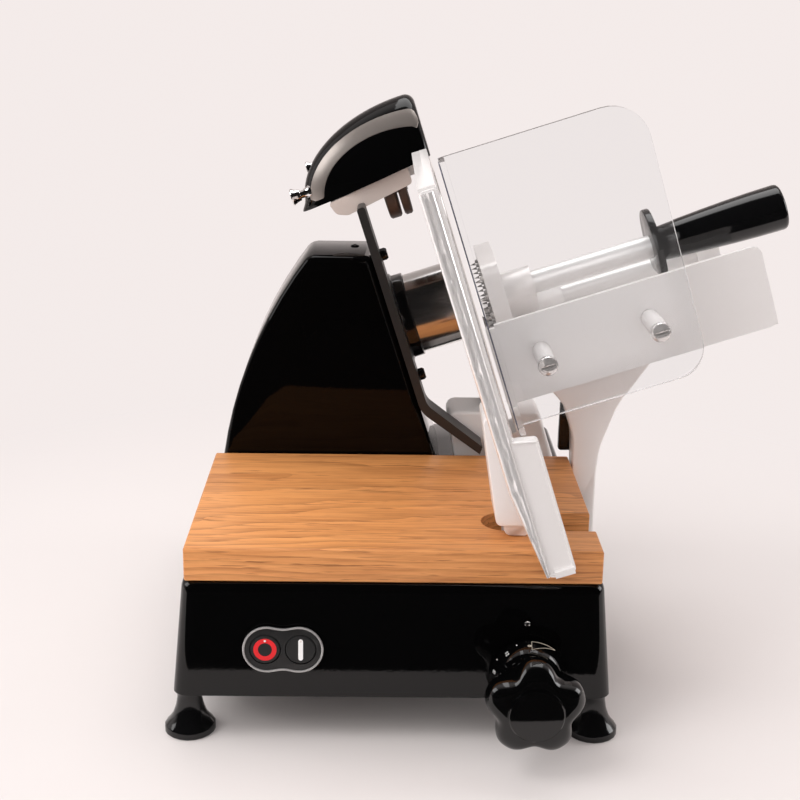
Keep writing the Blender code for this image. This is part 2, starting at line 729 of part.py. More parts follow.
def make_base(root):
    """The hollow lacquered casting, its bottom sheet, its feet and the cord gland."""
    outer = loft([base_loop(BASE_BOTTOM_Z, 0)] + [base_loop(z, 0) for z in shell_heights(BASE_TOP_Z)])
    shell = piece("base_shell", outer, "black_lacquer", root)
    inner_top = BASE_TOP_Z - BASE_WALL
    inner = loft([base_loop(BASE_BOTTOM_Z - 5 * MM, BASE_WALL), base_loop(BASE_BOTTOM_Z, BASE_WALL)]
                 + [base_loop(z, BASE_WALL) for z in shell_heights(inner_top)])
    cut(shell, "hollow", inner, root)
    boss_radius = FOOT_INSET - 2 * MM
    for label, (x, y) in foot_places().items():
        boss = rod(boss_radius, (x, y, BASE_BOTTOM_Z + 0.05 * MM), (x, y, BASE_BOTTOM_Z + 15 * MM), 20)
        join(shell, f"boss_{label}", boss, root)
    add_rod_lugs(shell, root)
    cut_base_openings(shell, root)
    sheet_low = BASE_BOTTOM_Z + 0.5 * MM
    outline = [(x, y) for x, y, _ in base_loop(sheet_low, BASE_WALL + SEAT_GAP + 0.2 * MM)]
    sheet = piece("bottom_sheet", plate(outline, sheet_low, sheet_low + BOTTOM_SHEET, "Z"),
                  "black_satin", root)
    for label, (x, y) in foot_places().items():
        hole = rod(boss_radius + SEAT_GAP, (x, y, BASE_BOTTOM_Z - 5 * MM),
                   (x, y, BASE_BOTTOM_Z + 9 * MM), 20)
        cut(sheet, f"boss_hole_{label}", hole, root)
    cut(sheet, "vents", vent_slots(sheet_low), root)
    for label, place in foot_places().items():
        turned(f"foot_{label}", foot_profile(), "black_plastic", root, (*place, 0), 20)
    turned("cord_gland", [(CORD_BORE, -GLAND_LENGTH / 2), (GLAND_RADIUS - 2 * MM, -GLAND_LENGTH / 2),
                          (GLAND_RADIUS - 2 * MM, SEAT_GAP), (GLAND_RADIUS, SEAT_GAP),
                          (GLAND_RADIUS, 4 * MM), (GLAND_RADIUS - 2 * MM, GLAND_LENGTH),
                          (CORD_BORE, GLAND_LENGTH)],
           "black_satin", root, (GLAND_X, base_rear_y(GLAND_Z) + 1 * MM, GLAND_Z), 20, "Y")


def base_rear_y(height):
    """The rear face's place at a height, below the shoulder."""
    return BASE_REAR_Y - (height - BASE_BOTTOM_Z) * tan(BASE_FRONT_LEAN)


def vent_slots(sheet_low):
    """A row of cooling slots under the motor, as one cutter."""
    def build(work):
        for index in range(7):
            x = -90 * MM + index * 12 * MM
            made = bmesh.ops.create_cube(work, size=1)["verts"]
            bmesh.ops.scale(work, vec=(4 * MM, 60 * MM, 20 * MM), verts=made)
            bmesh.ops.translate(work, vec=(x, HUB_Y + 8 * MM, sheet_low), verts=made)
    return mesh_from(build)


def foot_profile():
    """A flared foot: collar, neck, trumpet and a short upright rim."""
    rim, neck, top = FOOT_RIM_RADIUS, FOOT_NECK_RADIUS, FOOT_HEIGHT - SEAT_GAP
    return [(0, top), (neck + 1 * MM, top), (neck + 1 * MM, top - 2.6 * MM), (neck, top - 3.6 * MM),
            (neck, top - 9 * MM), (neck + 1 * MM, top - 15 * MM), (neck + 3 * MM, FOOT_RIM_HEIGHT + 7 * MM),
            (neck + 6 * MM, FOOT_RIM_HEIGHT + 2.6 * MM), (rim - 0.6 * MM, FOOT_RIM_HEIGHT + 0.5 * MM),
            (rim, FOOT_RIM_HEIGHT - 0.5 * MM), (rim, 0.8 * MM), (rim - 0.8 * MM, 0), (0, 0)]


# Switch

def panel_frame(root):
    """The switch's place on the leaning front face: x right, y into the base, z up the face."""
    found = bpy.data.objects.get("switch_frame")
    if found:
        return found
    return frame_empty("switch_frame", root, (SWITCH_X, base_front_y(SWITCH_Z), SWITCH_Z),
                       (-BASE_FRONT_LEAN, 0, 0))


def switch_outline(skin=0.0):
    """Two round lobes with a shallow waist, drawn in by skin."""
    radius = SWITCH_HALF_HEIGHT - skin
    right = arc((SWITCH_LOBE_OFFSET, 0), radius, radians(-105), radians(105), 18)
    left = arc((-SWITCH_LOBE_OFFSET, 0), radius, radians(75), radians(285), 18)
    return right + [(0, radius - SWITCH_WAIST)] + left + [(0, SWITCH_WAIST - radius)]


def make_switch(root):
    """A chrome-rimmed bezel with a stop button and a start button."""
    panel = panel_frame(root)
    bezel = piece("switch_bezel", plate(switch_outline(), -2.6 * MM, -SEAT_GAP), "black_plastic", panel,
                  edge=0.8 * MM)
    body = plate(switch_outline(SWITCH_RIM + 2 * SEAT_GAP), -1.5 * MM, SWITCH_DEPTH - 1 * MM)
    join(bezel, "body", body, panel)
    for label, x in (("stop", -SWITCH_LOBE_OFFSET - 1 * MM), ("start", SWITCH_LOBE_OFFSET + 1 * MM)):
        depth = BUTTON_LENGTH + BUTTON_TRAVEL + 1 * MM
        bore = rod(BUTTON_RADIUS + RUNNING_GAP, (x, -10 * MM, 0), (x, depth - 3 * MM, 0))
        cut(bezel, f"{label}_bore", bore, panel)
        profile = [(0, 0), (BUTTON_RADIUS - 0.8 * MM, 0), (BUTTON_RADIUS, 0.8 * MM),
                   (BUTTON_RADIUS, BUTTON_LENGTH), (0, BUTTON_LENGTH)]
        turned(f"{label}_button", profile, "black_plastic", panel, (x, -3 * MM, 0), 32, "Y")


# Motor tower

def tower_right_x(height):
    """The tower's right wall, parallel to the blade, at a height above the table."""
    return (TOWER_WALL_N - (height - BOARD_TOP_Z) * TILT_SIN) / TILT_COS


def tower_outline(skin=0.0, drop=0.0):
    """The tower's front outline in x and z, drawn in by skin and lengthened downwards by drop."""
    low = BASE_TOP_Z + SEAT_GAP - drop
    high = BASE_TOP_Z + TOWER_HEIGHT - skin
    side = skin / TILT_COS
    top_left = tower_right_x(high) - TOWER_TOP_WIDTH + 2 * skin
    left_side = bulged((-TOWER_FOOT_LEFT + skin, low), (top_left, high), TOWER_BULGE, 10)
    return [(tower_right_x(low) - side, low)] + left_side + [(tower_right_x(high) - side, high)]


def tower_depth_at(height):
    """How deep the tower is at a height: its back slopes forward."""
    share = (height - BASE_TOP_Z) / TOWER_HEIGHT
    return TOWER_DEPTH + (TOWER_TOP_DEPTH - TOWER_DEPTH) * share


def tower_solid(skin, drop, front, rear_skin):
    """The tower's outline stretched from a front plane to its sloping back."""
    outline = tower_outline(skin, drop)
    near = [(x, front, z) for x, z in outline]
    far = [(x, TOWER_FRONT_Y + tower_depth_at(z) - rear_skin, z) for x, z in outline]
    return loft([near, far])


def make_tower(root, slant):
    """The lacquered motor housing with its rear cover."""
    shell = piece("motor_housing", tower_solid(0, 0, TOWER_FRONT_Y, 0), "black_lacquer", root,
                  edge=TOWER_EDGE, edge_steps=3)
    cut(shell, "hollow", tower_solid(TOWER_WALL, 10 * MM, TOWER_FRONT_Y + TOWER_WALL, TOWER_WALL), root)
    window_front = TOWER_FRONT_Y + TOWER_TOP_DEPTH / 2
    window = tower_solid(14 * MM, -20 * MM, window_front, -10 * MM)
    cut(shell, "rear_window", window, root)
    hub_hole = rod(SHAFT_RADIUS + 5 * MM, (TOWER_WALL_N - 12 * MM, HUB_Y, HUB_M),
                   (TOWER_WALL_N + 12 * MM, HUB_Y, HUB_M))
    cut(shell, "hub_hole", hub_hole, slant)
    for label, (y, m) in thumb_screw_places().items():
        hole = rod(thumb_shank_radius() + RUNNING_GAP, (TOWER_WALL_N - 10 * MM, y, m),
                   (TOWER_WALL_N + 10 * MM, y, m), 16)
        cut(shell, f"screw_hole_{label}", hole, slant)
    outline = tower_outline(9 * MM, -12 * MM)
    near = [(x, TOWER_FRONT_Y + tower_depth_at(z) + SEAT_GAP, z) for x, z in outline]
    far = [(x, TOWER_FRONT_Y + tower_depth_at(z) + SEAT_GAP + 2.5 * MM, z) for x, z in outline]
    cover = piece("rear_cover", loft([near, far]), "black_satin", root)
    cut(cover, "louvres", louvre_slots(), root)


def louvre_slots():
    """Cooling slots through the rear cover, as one cutter."""
    def build(work):
        for index in range(6):
            z = BASE_TOP_Z + (34 + 10 * index) * MM
            y = TOWER_FRONT_Y + tower_depth_at(z)
            made = bmesh.ops.create_cube(work, size=1)["verts"]
            bmesh.ops.scale(work, vec=(60 * MM, 16 * MM, 4 * MM), verts=made)
            bmesh.ops.translate(work, vec=(-48 * MM, y, z), verts=made)
    return mesh_from(build)


# Drive inside the tower

def hull_of_circles(first, first_radius, second, second_radius, steps=20):
    """The outline of a band stretched round two circles."""
    way = Vector(second) - Vector(first)
    heading = atan2(way.y, way.x)
    contact = acos((first_radius - second_radius) / way.length)
    return (arc(second, second_radius, heading - contact, heading + contact, steps)
            + arc(first, first_radius, heading + contact, heading - contact + 2 * pi, steps))


def motor_axis():
    """Y and m of the motor's axis."""
    return HUB_Y + 8 * MM, HUB_M - MOTOR_DROP


def pulley_span():
    """Start and end of both pulleys along n, just inside the tower's right wall."""
    end = TOWER_WALL_N - TOWER_WALL - 5 * MM
    return end - PULLEY_WIDTH, end


def make_drive(slant):
    """Motor, pulleys and belt."""
    motor_y, motor_m = motor_axis()
    belt_start, belt_end = pulley_span()
    motor_end = belt_start - 6 * MM
    motor = piece("motor_body", rod(MOTOR_RADIUS, (motor_end - MOTOR_LENGTH, motor_y, motor_m),
                                    (motor_end, motor_y, motor_m), 28), "black_satin", slant,
                  edge=3 * MM)
    legs_end = TOWER_WALL_N - TOWER_WALL - SEAT_GAP
    for label, side in (("front", -1), ("rear", 1)):
        middle = motor_y + side * (MOTOR_RADIUS - 8 * MM)
        leg = box((motor_end - 4 * MM, middle - 4 * MM, motor_m - 5 * MM),
                  (legs_end, middle + 4 * MM, motor_m + 5 * MM))
        join(motor, f"{label}_leg", leg, slant)
    shaft_start = motor_end - MOTOR_SHAFT_DEPTH
    bore = rod(MOTOR_SHAFT_RADIUS + RUNNING_GAP, (shaft_start - RUNNING_GAP, motor_y, motor_m),
               (motor_end + 5 * MM, motor_y, motor_m), 24)
    cut(motor, "shaft_bore", bore, slant)
    middle = (belt_start + belt_end) / 2
    half = PULLEY_WIDTH / 2
    shaft_low = shaft_start - middle
    tread = pulley_profile(MOTOR_PULLEY_RADIUS, 0, half)
    turned("motor_pulley", [(0, shaft_low), (MOTOR_SHAFT_RADIUS, shaft_low), (MOTOR_SHAFT_RADIUS, -half)]
           + tread[1:], "brass", slant, (middle, motor_y, motor_m), 20, "X")
    turned("spindle_pulley", pulley_profile(SPINDLE_PULLEY_RADIUS, SHAFT_RADIUS + SEAT_GAP, half),
           "satin_aluminium", slant, (middle, HUB_Y, HUB_M), 32, "X")
    low, high = (motor_y, motor_m), (HUB_Y, HUB_M)
    inner = [radius + SEAT_GAP for radius in (MOTOR_PULLEY_RADIUS, SPINDLE_PULLEY_RADIUS)]
    outer = [radius + BELT_THICKNESS for radius in inner]
    belt_half = half - 1.4 * MM
    belt = piece("drive_belt", plate(hull_of_circles(low, outer[0], high, outer[1]), middle - belt_half,
                                     middle + belt_half, "X"), "rubber", slant)
    cut(belt, "inside", plate(hull_of_circles(low, inner[0], high, inner[1]), middle - half * 2,
                              middle + half * 2, "X"), slant)


def pulley_profile(radius, bore, half):
    """A belt pulley's section: a flat tread between two thin flanges."""
    rim = radius + 1.6 * MM
    lip = 1 * MM
    return [(bore, -half), (rim, -half), (rim, lip - half), (radius, lip - half), (radius, half - lip),
            (rim, half - lip), (rim, half), (bore, half)]


# Blade and hub

def make_hub(slant):
    """The stepped collar, the polished sleeve, two bearings and the spindle."""
    bore = BEARING_RADIUS + SEAT_GAP
    lip = SHAFT_RADIUS + 4 * MM
    rear_seat = COLLAR_START_N + BEARING_WIDTH + SEAT_GAP
    turned("hub_collar", [(bore, COLLAR_START_N), (COLLAR_RADIUS, COLLAR_START_N),
                          (COLLAR_RADIUS, COLLAR_START_N + 5 * MM),
                          (COLLAR_RADIUS - 2 * MM, COLLAR_START_N + 6 * MM),
                          (COLLAR_RADIUS - 2 * MM, COLLAR_END_N), (lip, COLLAR_END_N), (lip, rear_seat),
                          (bore, rear_seat)], "black_plastic", slant, (0, HUB_Y, HUB_M), 32, "X")
    front_seat = SLEEVE_END_N - BEARING_WIDTH - 5 * MM
    turned("hub_sleeve", [(lip, SLEEVE_START_N), (SLEEVE_RADIUS, SLEEVE_START_N),
                          (SLEEVE_RADIUS, SLEEVE_END_N), (bore, SLEEVE_END_N), (bore, front_seat),
                          (lip, front_seat)], "chrome", slant, (0, HUB_Y, HUB_M), 40, "X")
    inner = SHAFT_RADIUS + SEAT_GAP
    for label, start in (("rear", COLLAR_START_N + SEAT_GAP), ("front", front_seat + SEAT_GAP)):
        end = start + BEARING_WIDTH - SEAT_GAP
        turned(f"spindle_bearing_{label}", [(inner, start), (BEARING_RADIUS, start),
                                            (BEARING_RADIUS, end), (inner, end)],
               "steel", slant, (0, HUB_Y, HUB_M), 24, "X")
    start, _ = pulley_span()
    flange_end = FLANGE_BACK_N + FLANGE_THICKNESS
    turned("spindle", [(0, start - 4 * MM), (SHAFT_RADIUS, start - 4 * MM), (SHAFT_RADIUS, FLANGE_BACK_N),
                       (FLANGE_RADIUS, FLANGE_BACK_N), (FLANGE_RADIUS, flange_end),
                       (blade_bore() - SEAT_GAP, flange_end),
                       (blade_bore() - SEAT_GAP, BLADE_BACK_N + BLADE_DISC), (0, BLADE_BACK_N + BLADE_DISC)],
           "steel", slant, (0, HUB_Y, HUB_M), 28, "X")


def blade_bore():
    """The blade's centre hole, which fits over the spindle's spigot."""
    return SHAFT_RADIUS + 2 * MM + SEAT_GAP


def make_blade(slant):
    """The round knife, dished and bevelled, with its clamp plate."""
    back, face = BLADE_BACK_N, BLADE_BACK_N + BLADE_DISC
    dish, rim = BLADE_DISH_RADIUS, BLADE_RADIUS
    turned("blade", [(blade_bore(), back), (blade_bore(), face), (dish - 8 * MM, face),
                     (dish, face + 0.8 * MM), (rim - BLADE_BEVEL - 2 * MM, BLADE_PLANE - 0.8 * MM),
                     (rim, BLADE_PLANE), (rim, BLADE_PLANE - 0.35 * MM),
                     (rim - BLADE_BEVEL, BLADE_PLANE - 3.4 * MM), (dish, back + 0.8 * MM),
                     (dish - 8 * MM, back)],
           "steel", slant, (0, HUB_Y, HUB_M), 56, "X")
    low = face + SEAT_GAP
    turned("blade_clamp", [(0, low), (CLAMP_RADIUS, low), (CLAMP_RADIUS, low + 1 * MM),
                           (CLAMP_RADIUS - 1.2 * MM, BLADE_PLANE - 0.5 * MM), (0, BLADE_PLANE - 0.5 * MM)],
           "steel", slant, (0, HUB_Y, HUB_M), 32, "X")


def make_round_guard(slant, root):
    """The cast ring round the blade's back and the grey pedestal that carries it."""
    centre = (HUB_Y, HUB_M)
    first, last = radians(-110), radians(100)
    outer = arc(centre, GUARD_RING_OUTER, first, last, 34)
    inner = arc(centre, GUARD_RING_INNER - GUARD_WEB_REACH, last, first, 30)
    ring = piece("ring_guard", plate(outer + inner, GUARD_RING_BACK_N, GUARD_RING_FACE_N, "X"),
                 "silver_paint", slant)
    recess = rod(GUARD_RING_INNER, (GUARD_RING_BACK_N + GUARD_WEB, *centre),
                 (BLADE_PLANE + 9 * MM, *centre), 60)
    cut(ring, "recess", recess, slant)
    boss_low = HUB_M + GUARD_RING_INNER + 1.5 * MM
    boss = box((MOUNT_LEFT_N, HUB_Y - MOUNT_WIDTH / 2 - 2 * MM, boss_low),
               (GUARD_RING_FACE_N - 0.2 * MM, HUB_Y + MOUNT_WIDTH / 2 + 2 * MM, mount_low_m() - SEAT_GAP))
    join(ring, "mount_boss", boss, slant)
    cut(ring, "stem_bore", stem_bore(), slant)
    low = BASE_TOP_Z + SEAT_GAP - BOARD_TOP_Z
    left, right = PEDESTAL_LEFT_N, PEDESTAL_RIGHT_N

    def x_at(across, height):
        return (across - height * TILT_SIN) / TILT_COS
    corners = [(x_at(left, low), low, 0), (x_at(right, low), low, 0),
               (x_at(right, PEDESTAL_TOP), PEDESTAL_TOP, 5 * MM), (x_at(left, 5 * MM), PEDESTAL_TOP, 7 * MM)]
    front = TOWER_FRONT_Y + PEDESTAL_FRONT
    pedestal = piece("guard_pedestal", plate(rounded(root_outline(corners), 4), front,
                                             front + PEDESTAL_DEPTH), "cast_aluminium", root,
                     edge=3 * MM)
    pocket = rod(GUARD_RING_OUTER + SEAT_GAP, (GUARD_RING_BACK_N - SEAT_GAP, *centre),
                 (BLADE_PLANE + GUARD_RING_GAP, *centre), 96)
    cut(pedestal, "ring_pocket", pocket, slant)


def mount_low_m():
    """The underside of the sharpener's mount, just above the ring's crown."""
    return HUB_M + GUARD_RING_OUTER + 2 * MM


def mount_high_m():
    """The top of the sharpener's mount."""
    return mount_low_m() + MOUNT_THICKNESS


def stem_bore():
    """The bore in which the sharpener's stem slides."""
    return rod(STEM_RADIUS + RUNNING_GAP, (STEM_N, HUB_Y, mount_low_m() - 30 * MM),
               (STEM_N, HUB_Y, mount_high_m() + 10 * MM), 24)


# Deflector

def thumb_shank_radius():
    """The shank of a thumb screw."""
    return THUMB_SCREW_RADIUS / 2


def thumb_screw_places():
    """Y and m of the two screws that hold the deflector on the tower."""
    y = TOWER_FRONT_Y + 9 * MM
    return {"upper": (y, HUB_M + 56 * MM), "lower": (y, HUB_M - 38 * MM)}


def make_deflector(slant):
    """The bent sheet that throws slices on to the board, and its two thumb screws."""
    inner_n = TOWER_WALL_N + SEAT_GAP
    outer_n = inner_n + DEFLECTOR_SHEET
    outline = rounded([(inner_n, DEFLECTOR_BEND_M - 2 * MM, 20 * MM),
                       (DEFLECTOR_LIP_N - 3.5 * MM, DEFLECTOR_LIP_M, 0),
                       (DEFLECTOR_LIP_N, DEFLECTOR_LIP_M + 5 * MM, 0),
                       (outer_n, DEFLECTOR_BEND_M + 2 * MM, 14 * MM),
                       (outer_n, DEFLECTOR_TOP_M, 2 * MM), (inner_n, DEFLECTOR_TOP_M, 2 * MM)])
    front = TOWER_FRONT_Y + DEFLECTOR_FRONT
    sheet = piece("deflector", plate(outline, front, front + DEFLECTOR_WIDTH), "black_satin", slant)
    notch = rod(COLLAR_RADIUS + SEAT_GAP, (inner_n - 5 * MM, HUB_Y, HUB_M),
                (outer_n + 5 * MM, HUB_Y, HUB_M), 48)
    cut(sheet, "collar_notch", notch, slant)
    shank = thumb_shank_radius()
    for label, (y, m) in thumb_screw_places().items():
        hole = rod(shank + RUNNING_GAP, (inner_n - 5 * MM, y, m), (outer_n + 5 * MM, y, m), 16)
        cut(sheet, f"hole_{label}", hole, slant)
        head = outer_n + SEAT_GAP
        turned(f"deflector_screw_{label}", [(0, inner_n - 8 * MM), (shank, inner_n - 8 * MM), (shank, head),
                                            (THUMB_SCREW_RADIUS, head), (THUMB_SCREW_RADIUS, head + 3 * MM),
                                            (THUMB_SCREW_RADIUS - 1 * MM, head + 4.5 * MM),
                                            (0, head + 4.5 * MM)],
               "black_plastic", slant, (0, y, m), 20, "X")


# Gauge plate, post and slide

def make_gauge_plate(slant):
    """The thick plate that sets the slice: skin, front rim, top rim and the low front flange."""
    face = GAUGE_FACE_N
    back = face - GAUGE_PLATE
    rim = face - GAUGE_RIM
    front_rear = GAUGE_FRONT + GAUGE_FRONT_EDGE
    low = slant_m_at(rim, GAUGE_BOARD_CLEAR)
    reach = BLADE_RADIUS + GUARD_RING_GAP
    centre = (HUB_Y, HUB_M)
    edge = arc(centre, reach, radians(125), radians(233), 20)
    corners = [(GAUGE_FRONT, low, 2 * MM), (edge[-1][0] - 14 * MM, low, 6 * MM)]
    corners += [(y, m, 0) for y, m in reversed(edge)]
    corners += [(edge[0][0] - 8 * MM, GAUGE_TOP_M, 8 * MM), (GAUGE_FRONT, GAUGE_TOP_M, 10 * MM)]
    outline = rounded(corners, 4)
    made = piece("gauge_plate", plate(outline, back, face, "X"), "satin_aluminium", slant)
    reach_n = face + GAUGE_FLANGE_REACH
    flange = rounded([(rim, GAUGE_TOP_M - 2 * MM, 3 * MM), (rim, 20 * MM, 30 * MM),
                      (rim + 7 * MM, GAUGE_FLANGE_BOTTOM_M, 6 * MM),
                      (reach_n, GAUGE_FLANGE_BOTTOM_M, 3 * MM),
                      (reach_n, GAUGE_FLANGE_TOP_M, 3 * MM), (face, GAUGE_FLANGE_TOP_M + 3 * MM, 2 * MM),
                      (face, GAUGE_TOP_M - 2 * MM, 2 * MM)])
    join(made, "front_rim", plate(flange, GAUGE_FRONT - 0.5 * MM, front_rear), slant)
    top_rim = box((rim, GAUGE_FRONT + 2 * MM, GAUGE_TOP_M - 7 * MM),
                  (face - 0.3 * MM, edge[0][0] - 12 * MM, GAUGE_TOP_M - 0.4 * MM))
    join(made, "top_rim", top_rim, slant)
    lip = box((rim + 12 * MM, GAUGE_FRONT - 4 * MM, GAUGE_FLANGE_BOTTOM_M + 0.5 * MM),
              (reach_n - 1 * MM, front_rear - 1 * MM, GAUGE_FLANGE_BOTTOM_M + 4.5 * MM))
    join(made, "bottom_lip", lip, slant)
    cut(made, "grooves", gauge_grooves(face), slant)


def gauge_grooves(face):
    """Shallow grooves along the plate's face that let the food slide, as one cutter."""
    def build(work):
        for index in range(GROOVES):
            middle = TRAY_FLOOR_M + GROOVE_FIRST + GROOVE_PITCH * index
            made = bmesh.ops.create_cube(work, size=1)["verts"]
            bmesh.ops.scale(work, vec=(2 * GROOVE_DEPTH, GROOVE_LENGTH, GROOVE_WIDTH), verts=made)
            bmesh.ops.translate(work, vec=(face, GROOVE_LENGTH / 2 + 2 * MM, middle), verts=made)
    return mesh_from(build)


def make_gauge_post(root):
    """The rounded post that carries the gauge plate, with its foot and its neck through the slot."""
    back = GAUGE_FACE_N - GAUGE_PLATE - SEAT_GAP

    def back_x(height):
        return (back - height * TILT_SIN) / TILT_COS
    top, low = POST_HEIGHT, POST_BODY_RISE
    corners = [(POST_NECK_X - POST_LEFT_INSET, low, 4 * MM), (back_x(low) - SEAT_GAP, low, 1 * MM),
               (back_x(top), top, 1 * MM), (back_x(top) - POST_TOP_WIDTH, top, 4 * MM)]
    body = plate(rounded(root_outline(corners), 4), POST_FRONT_Y, POST_REAR_Y)
    post = piece("gauge_post", body, "silver_paint", root, edge=3.5 * MM, edge_steps=3)
    left, right = POST_NECK_X, POST_NECK_X + POST_NECK_WIDTH
    foot = [(left - 1.5 * MM, POST_FOOT_RISE, 5 * MM), (right + 1.5 * MM, POST_FOOT_RISE, 1.5 * MM),
            (right + 1.5 * MM, low + 1 * MM, 0), (left - 1.5 * MM, low + 1 * MM, 0)]
    join(post, "foot", plate(rounded(root_outline(foot), 4), POST_FRONT_Y + POST_FOOT_INSET,
                             POST_REAR_Y - POST_FOOT_INSET), root)
    _, rod_z = gauge_drive()
    neck = box((left, POST_Y - POST_NECK_DEPTH / 2, rod_z + block_top_above_rod() + SEAT_GAP),
               (right, POST_Y + POST_NECK_DEPTH / 2, BOARD_TOP_Z + low / 2))
    join(post, "neck", neck, root)


def block_top_above_rod():
    """How far the gauge slide's top lies above its rod's axis."""
    return GAUGE_ROD_RADIUS + 4 * MM


def rack_outline(left, right, top):
    """The gauge slide's outline: a block whose lower edge is a rack on the pinion's pitch line."""
    root_z = KNOB_Z + PINION_RADIUS + TOOTH_DEDENDUM
    tip_z = KNOB_Z + PINION_RADIUS - TOOTH_ADDENDUM
    pitch = pi * PINION_MODULE
    half_tooth = (pitch / 2 - TOOTH_BACKLASH) / 2
    flare_root = half_tooth + TOOTH_DEDENDUM * tan(PRESSURE_ANGLE)
    flare_tip = half_tooth - TOOTH_ADDENDUM * tan(PRESSURE_ANGLE)
    spare = flare_root + 0.2 * MM
    first = ceil((left + spare - KNOB_X) / pitch - 0.5)
    last = floor((right - spare - KNOB_X) / pitch - 0.5)
    outline = [(left, root_z)]
    for index in range(first, last + 1):
        middle = KNOB_X + (index + 0.5) * pitch
        outline += [(middle - flare_root, root_z), (middle - flare_tip, tip_z),
                    (middle + flare_tip, tip_z), (middle + flare_root, root_z)]
    return outline + [(right, root_z), (right, top), (left, top)]


def make_gauge_slide(root):
    """The slide on the gauge rod, whose lower edge is a rack that the knob's pinion drives."""
    block_x, rod_z = gauge_drive()
    half = GAUGE_BLOCK_LENGTH / 2
    left, right = block_x - half, block_x + half
    outline = rack_outline(left, right, rod_z + block_top_above_rod())
    slide = piece("gauge_slide", plate(outline, POST_Y - GAUGE_BLOCK_DEPTH / 2,
                                       POST_Y + GAUGE_BLOCK_DEPTH / 2), "cast_aluminium", root)
    bore = rod(GAUGE_ROD_RADIUS + SEAT_GAP, (left - 9 * MM, POST_Y, rod_z),
               (right + 9 * MM, POST_Y, rod_z), 24)
    cut(slide, "bore", bore, root)
    low, high = gauge_lug_places()
    reach = LUG_THICKNESS / 2 + 1 * MM
    piece("gauge_rod", rod(GAUGE_ROD_RADIUS, (low - reach, POST_Y, rod_z),
                           (high + reach, POST_Y, rod_z), 24), "steel", root)


# Thickness knob

def knob_back_y():
    """Where the knob's skirt ends, just in front of the leaning panel."""
    return base_front_y(KNOB_Z) - KNOB_PANEL_GAP


def make_knob(root):
    """The five-lobed knob with its dial skirt."""
    grip = KNOB_RADIUS - KNOB_LOBE_DEPTH
    skirt, lobe, front = KNOB_SKIRT_RADIUS, KNOB_LOBE_DEPTH, KNOB_LENGTH
    sections = [(0, skirt - 0.6 * MM, 0), (1 * MM, skirt, 0), (front * 0.34, skirt, 0),
                (front * 0.5, skirt + 0.8 * MM, lobe * 0.25), (front * 0.62, skirt + 2.4 * MM, lobe * 0.65),
                (front * 0.74, grip - 1.2 * MM, lobe), (front * 0.84, grip, lobe),
                (front - 4 * MM, grip, lobe), (front - 1.2 * MM, grip - 1 * MM, lobe * 0.9),
                (front, grip - 2.8 * MM, lobe * 0.8)]
    frame = frame_empty("knob_frame", root, (KNOB_X, knob_back_y(), KNOB_Z))
    count = KNOB_LOBES * 8

    def ring(depth, radius, lobe):
        points = []
        for step in range(count):
            angle = 2 * pi * step / count
            reach = radius + lobe * cos(KNOB_LOBES * (angle - pi / 2))
            points.append((reach * cos(angle), -depth, reach * sin(angle)))
        return points
    knob = piece("thickness_knob", loft([ring(*section) for section in sections]), "black_lacquer", frame)
    bore = rod(KNOB_SHAFT_RADIUS + SEAT_GAP, (0, 5 * MM, 0), (0, -22 * MM, 0), 24)
    cut(knob, "bore", bore, frame)


def make_pinion(root):
    """The knob's shaft with the small pinion that drives the rack."""
    end = POST_Y + PINION_WIDTH / 2 + 6 * MM
    shaft = piece("pinion_shaft", rod(KNOB_SHAFT_RADIUS, (KNOB_X, knob_back_y() - 21 * MM, KNOB_Z),
                                      (KNOB_X, end, KNOB_Z), 24), "steel", root)
    half_tooth = (pi * PINION_MODULE / 2 - TOOTH_BACKLASH) / 2
    flank = [(PINION_RADIUS - TOOTH_DEDENDUM, half_tooth * 1.15), (PINION_RADIUS, half_tooth),
             (PINION_RADIUS + TOOTH_ADDENDUM, half_tooth * 0.5)]
    outline = []
    for index in range(PINION_TEETH):
        middle = pi / 2 + 2 * pi * index / PINION_TEETH
        outline += [(radius, middle - half / radius) for radius, half in flank]
        outline += [(radius, middle + half / radius) for radius, half in reversed(flank)]
    points = [(KNOB_X + radius * cos(angle), KNOB_Z + radius * sin(angle)) for radius, angle in outline]
    teeth = plate(points, POST_Y - PINION_WIDTH / 2, POST_Y + PINION_WIDTH / 2)
    join(shaft, "teeth", teeth, root)


# Carriage

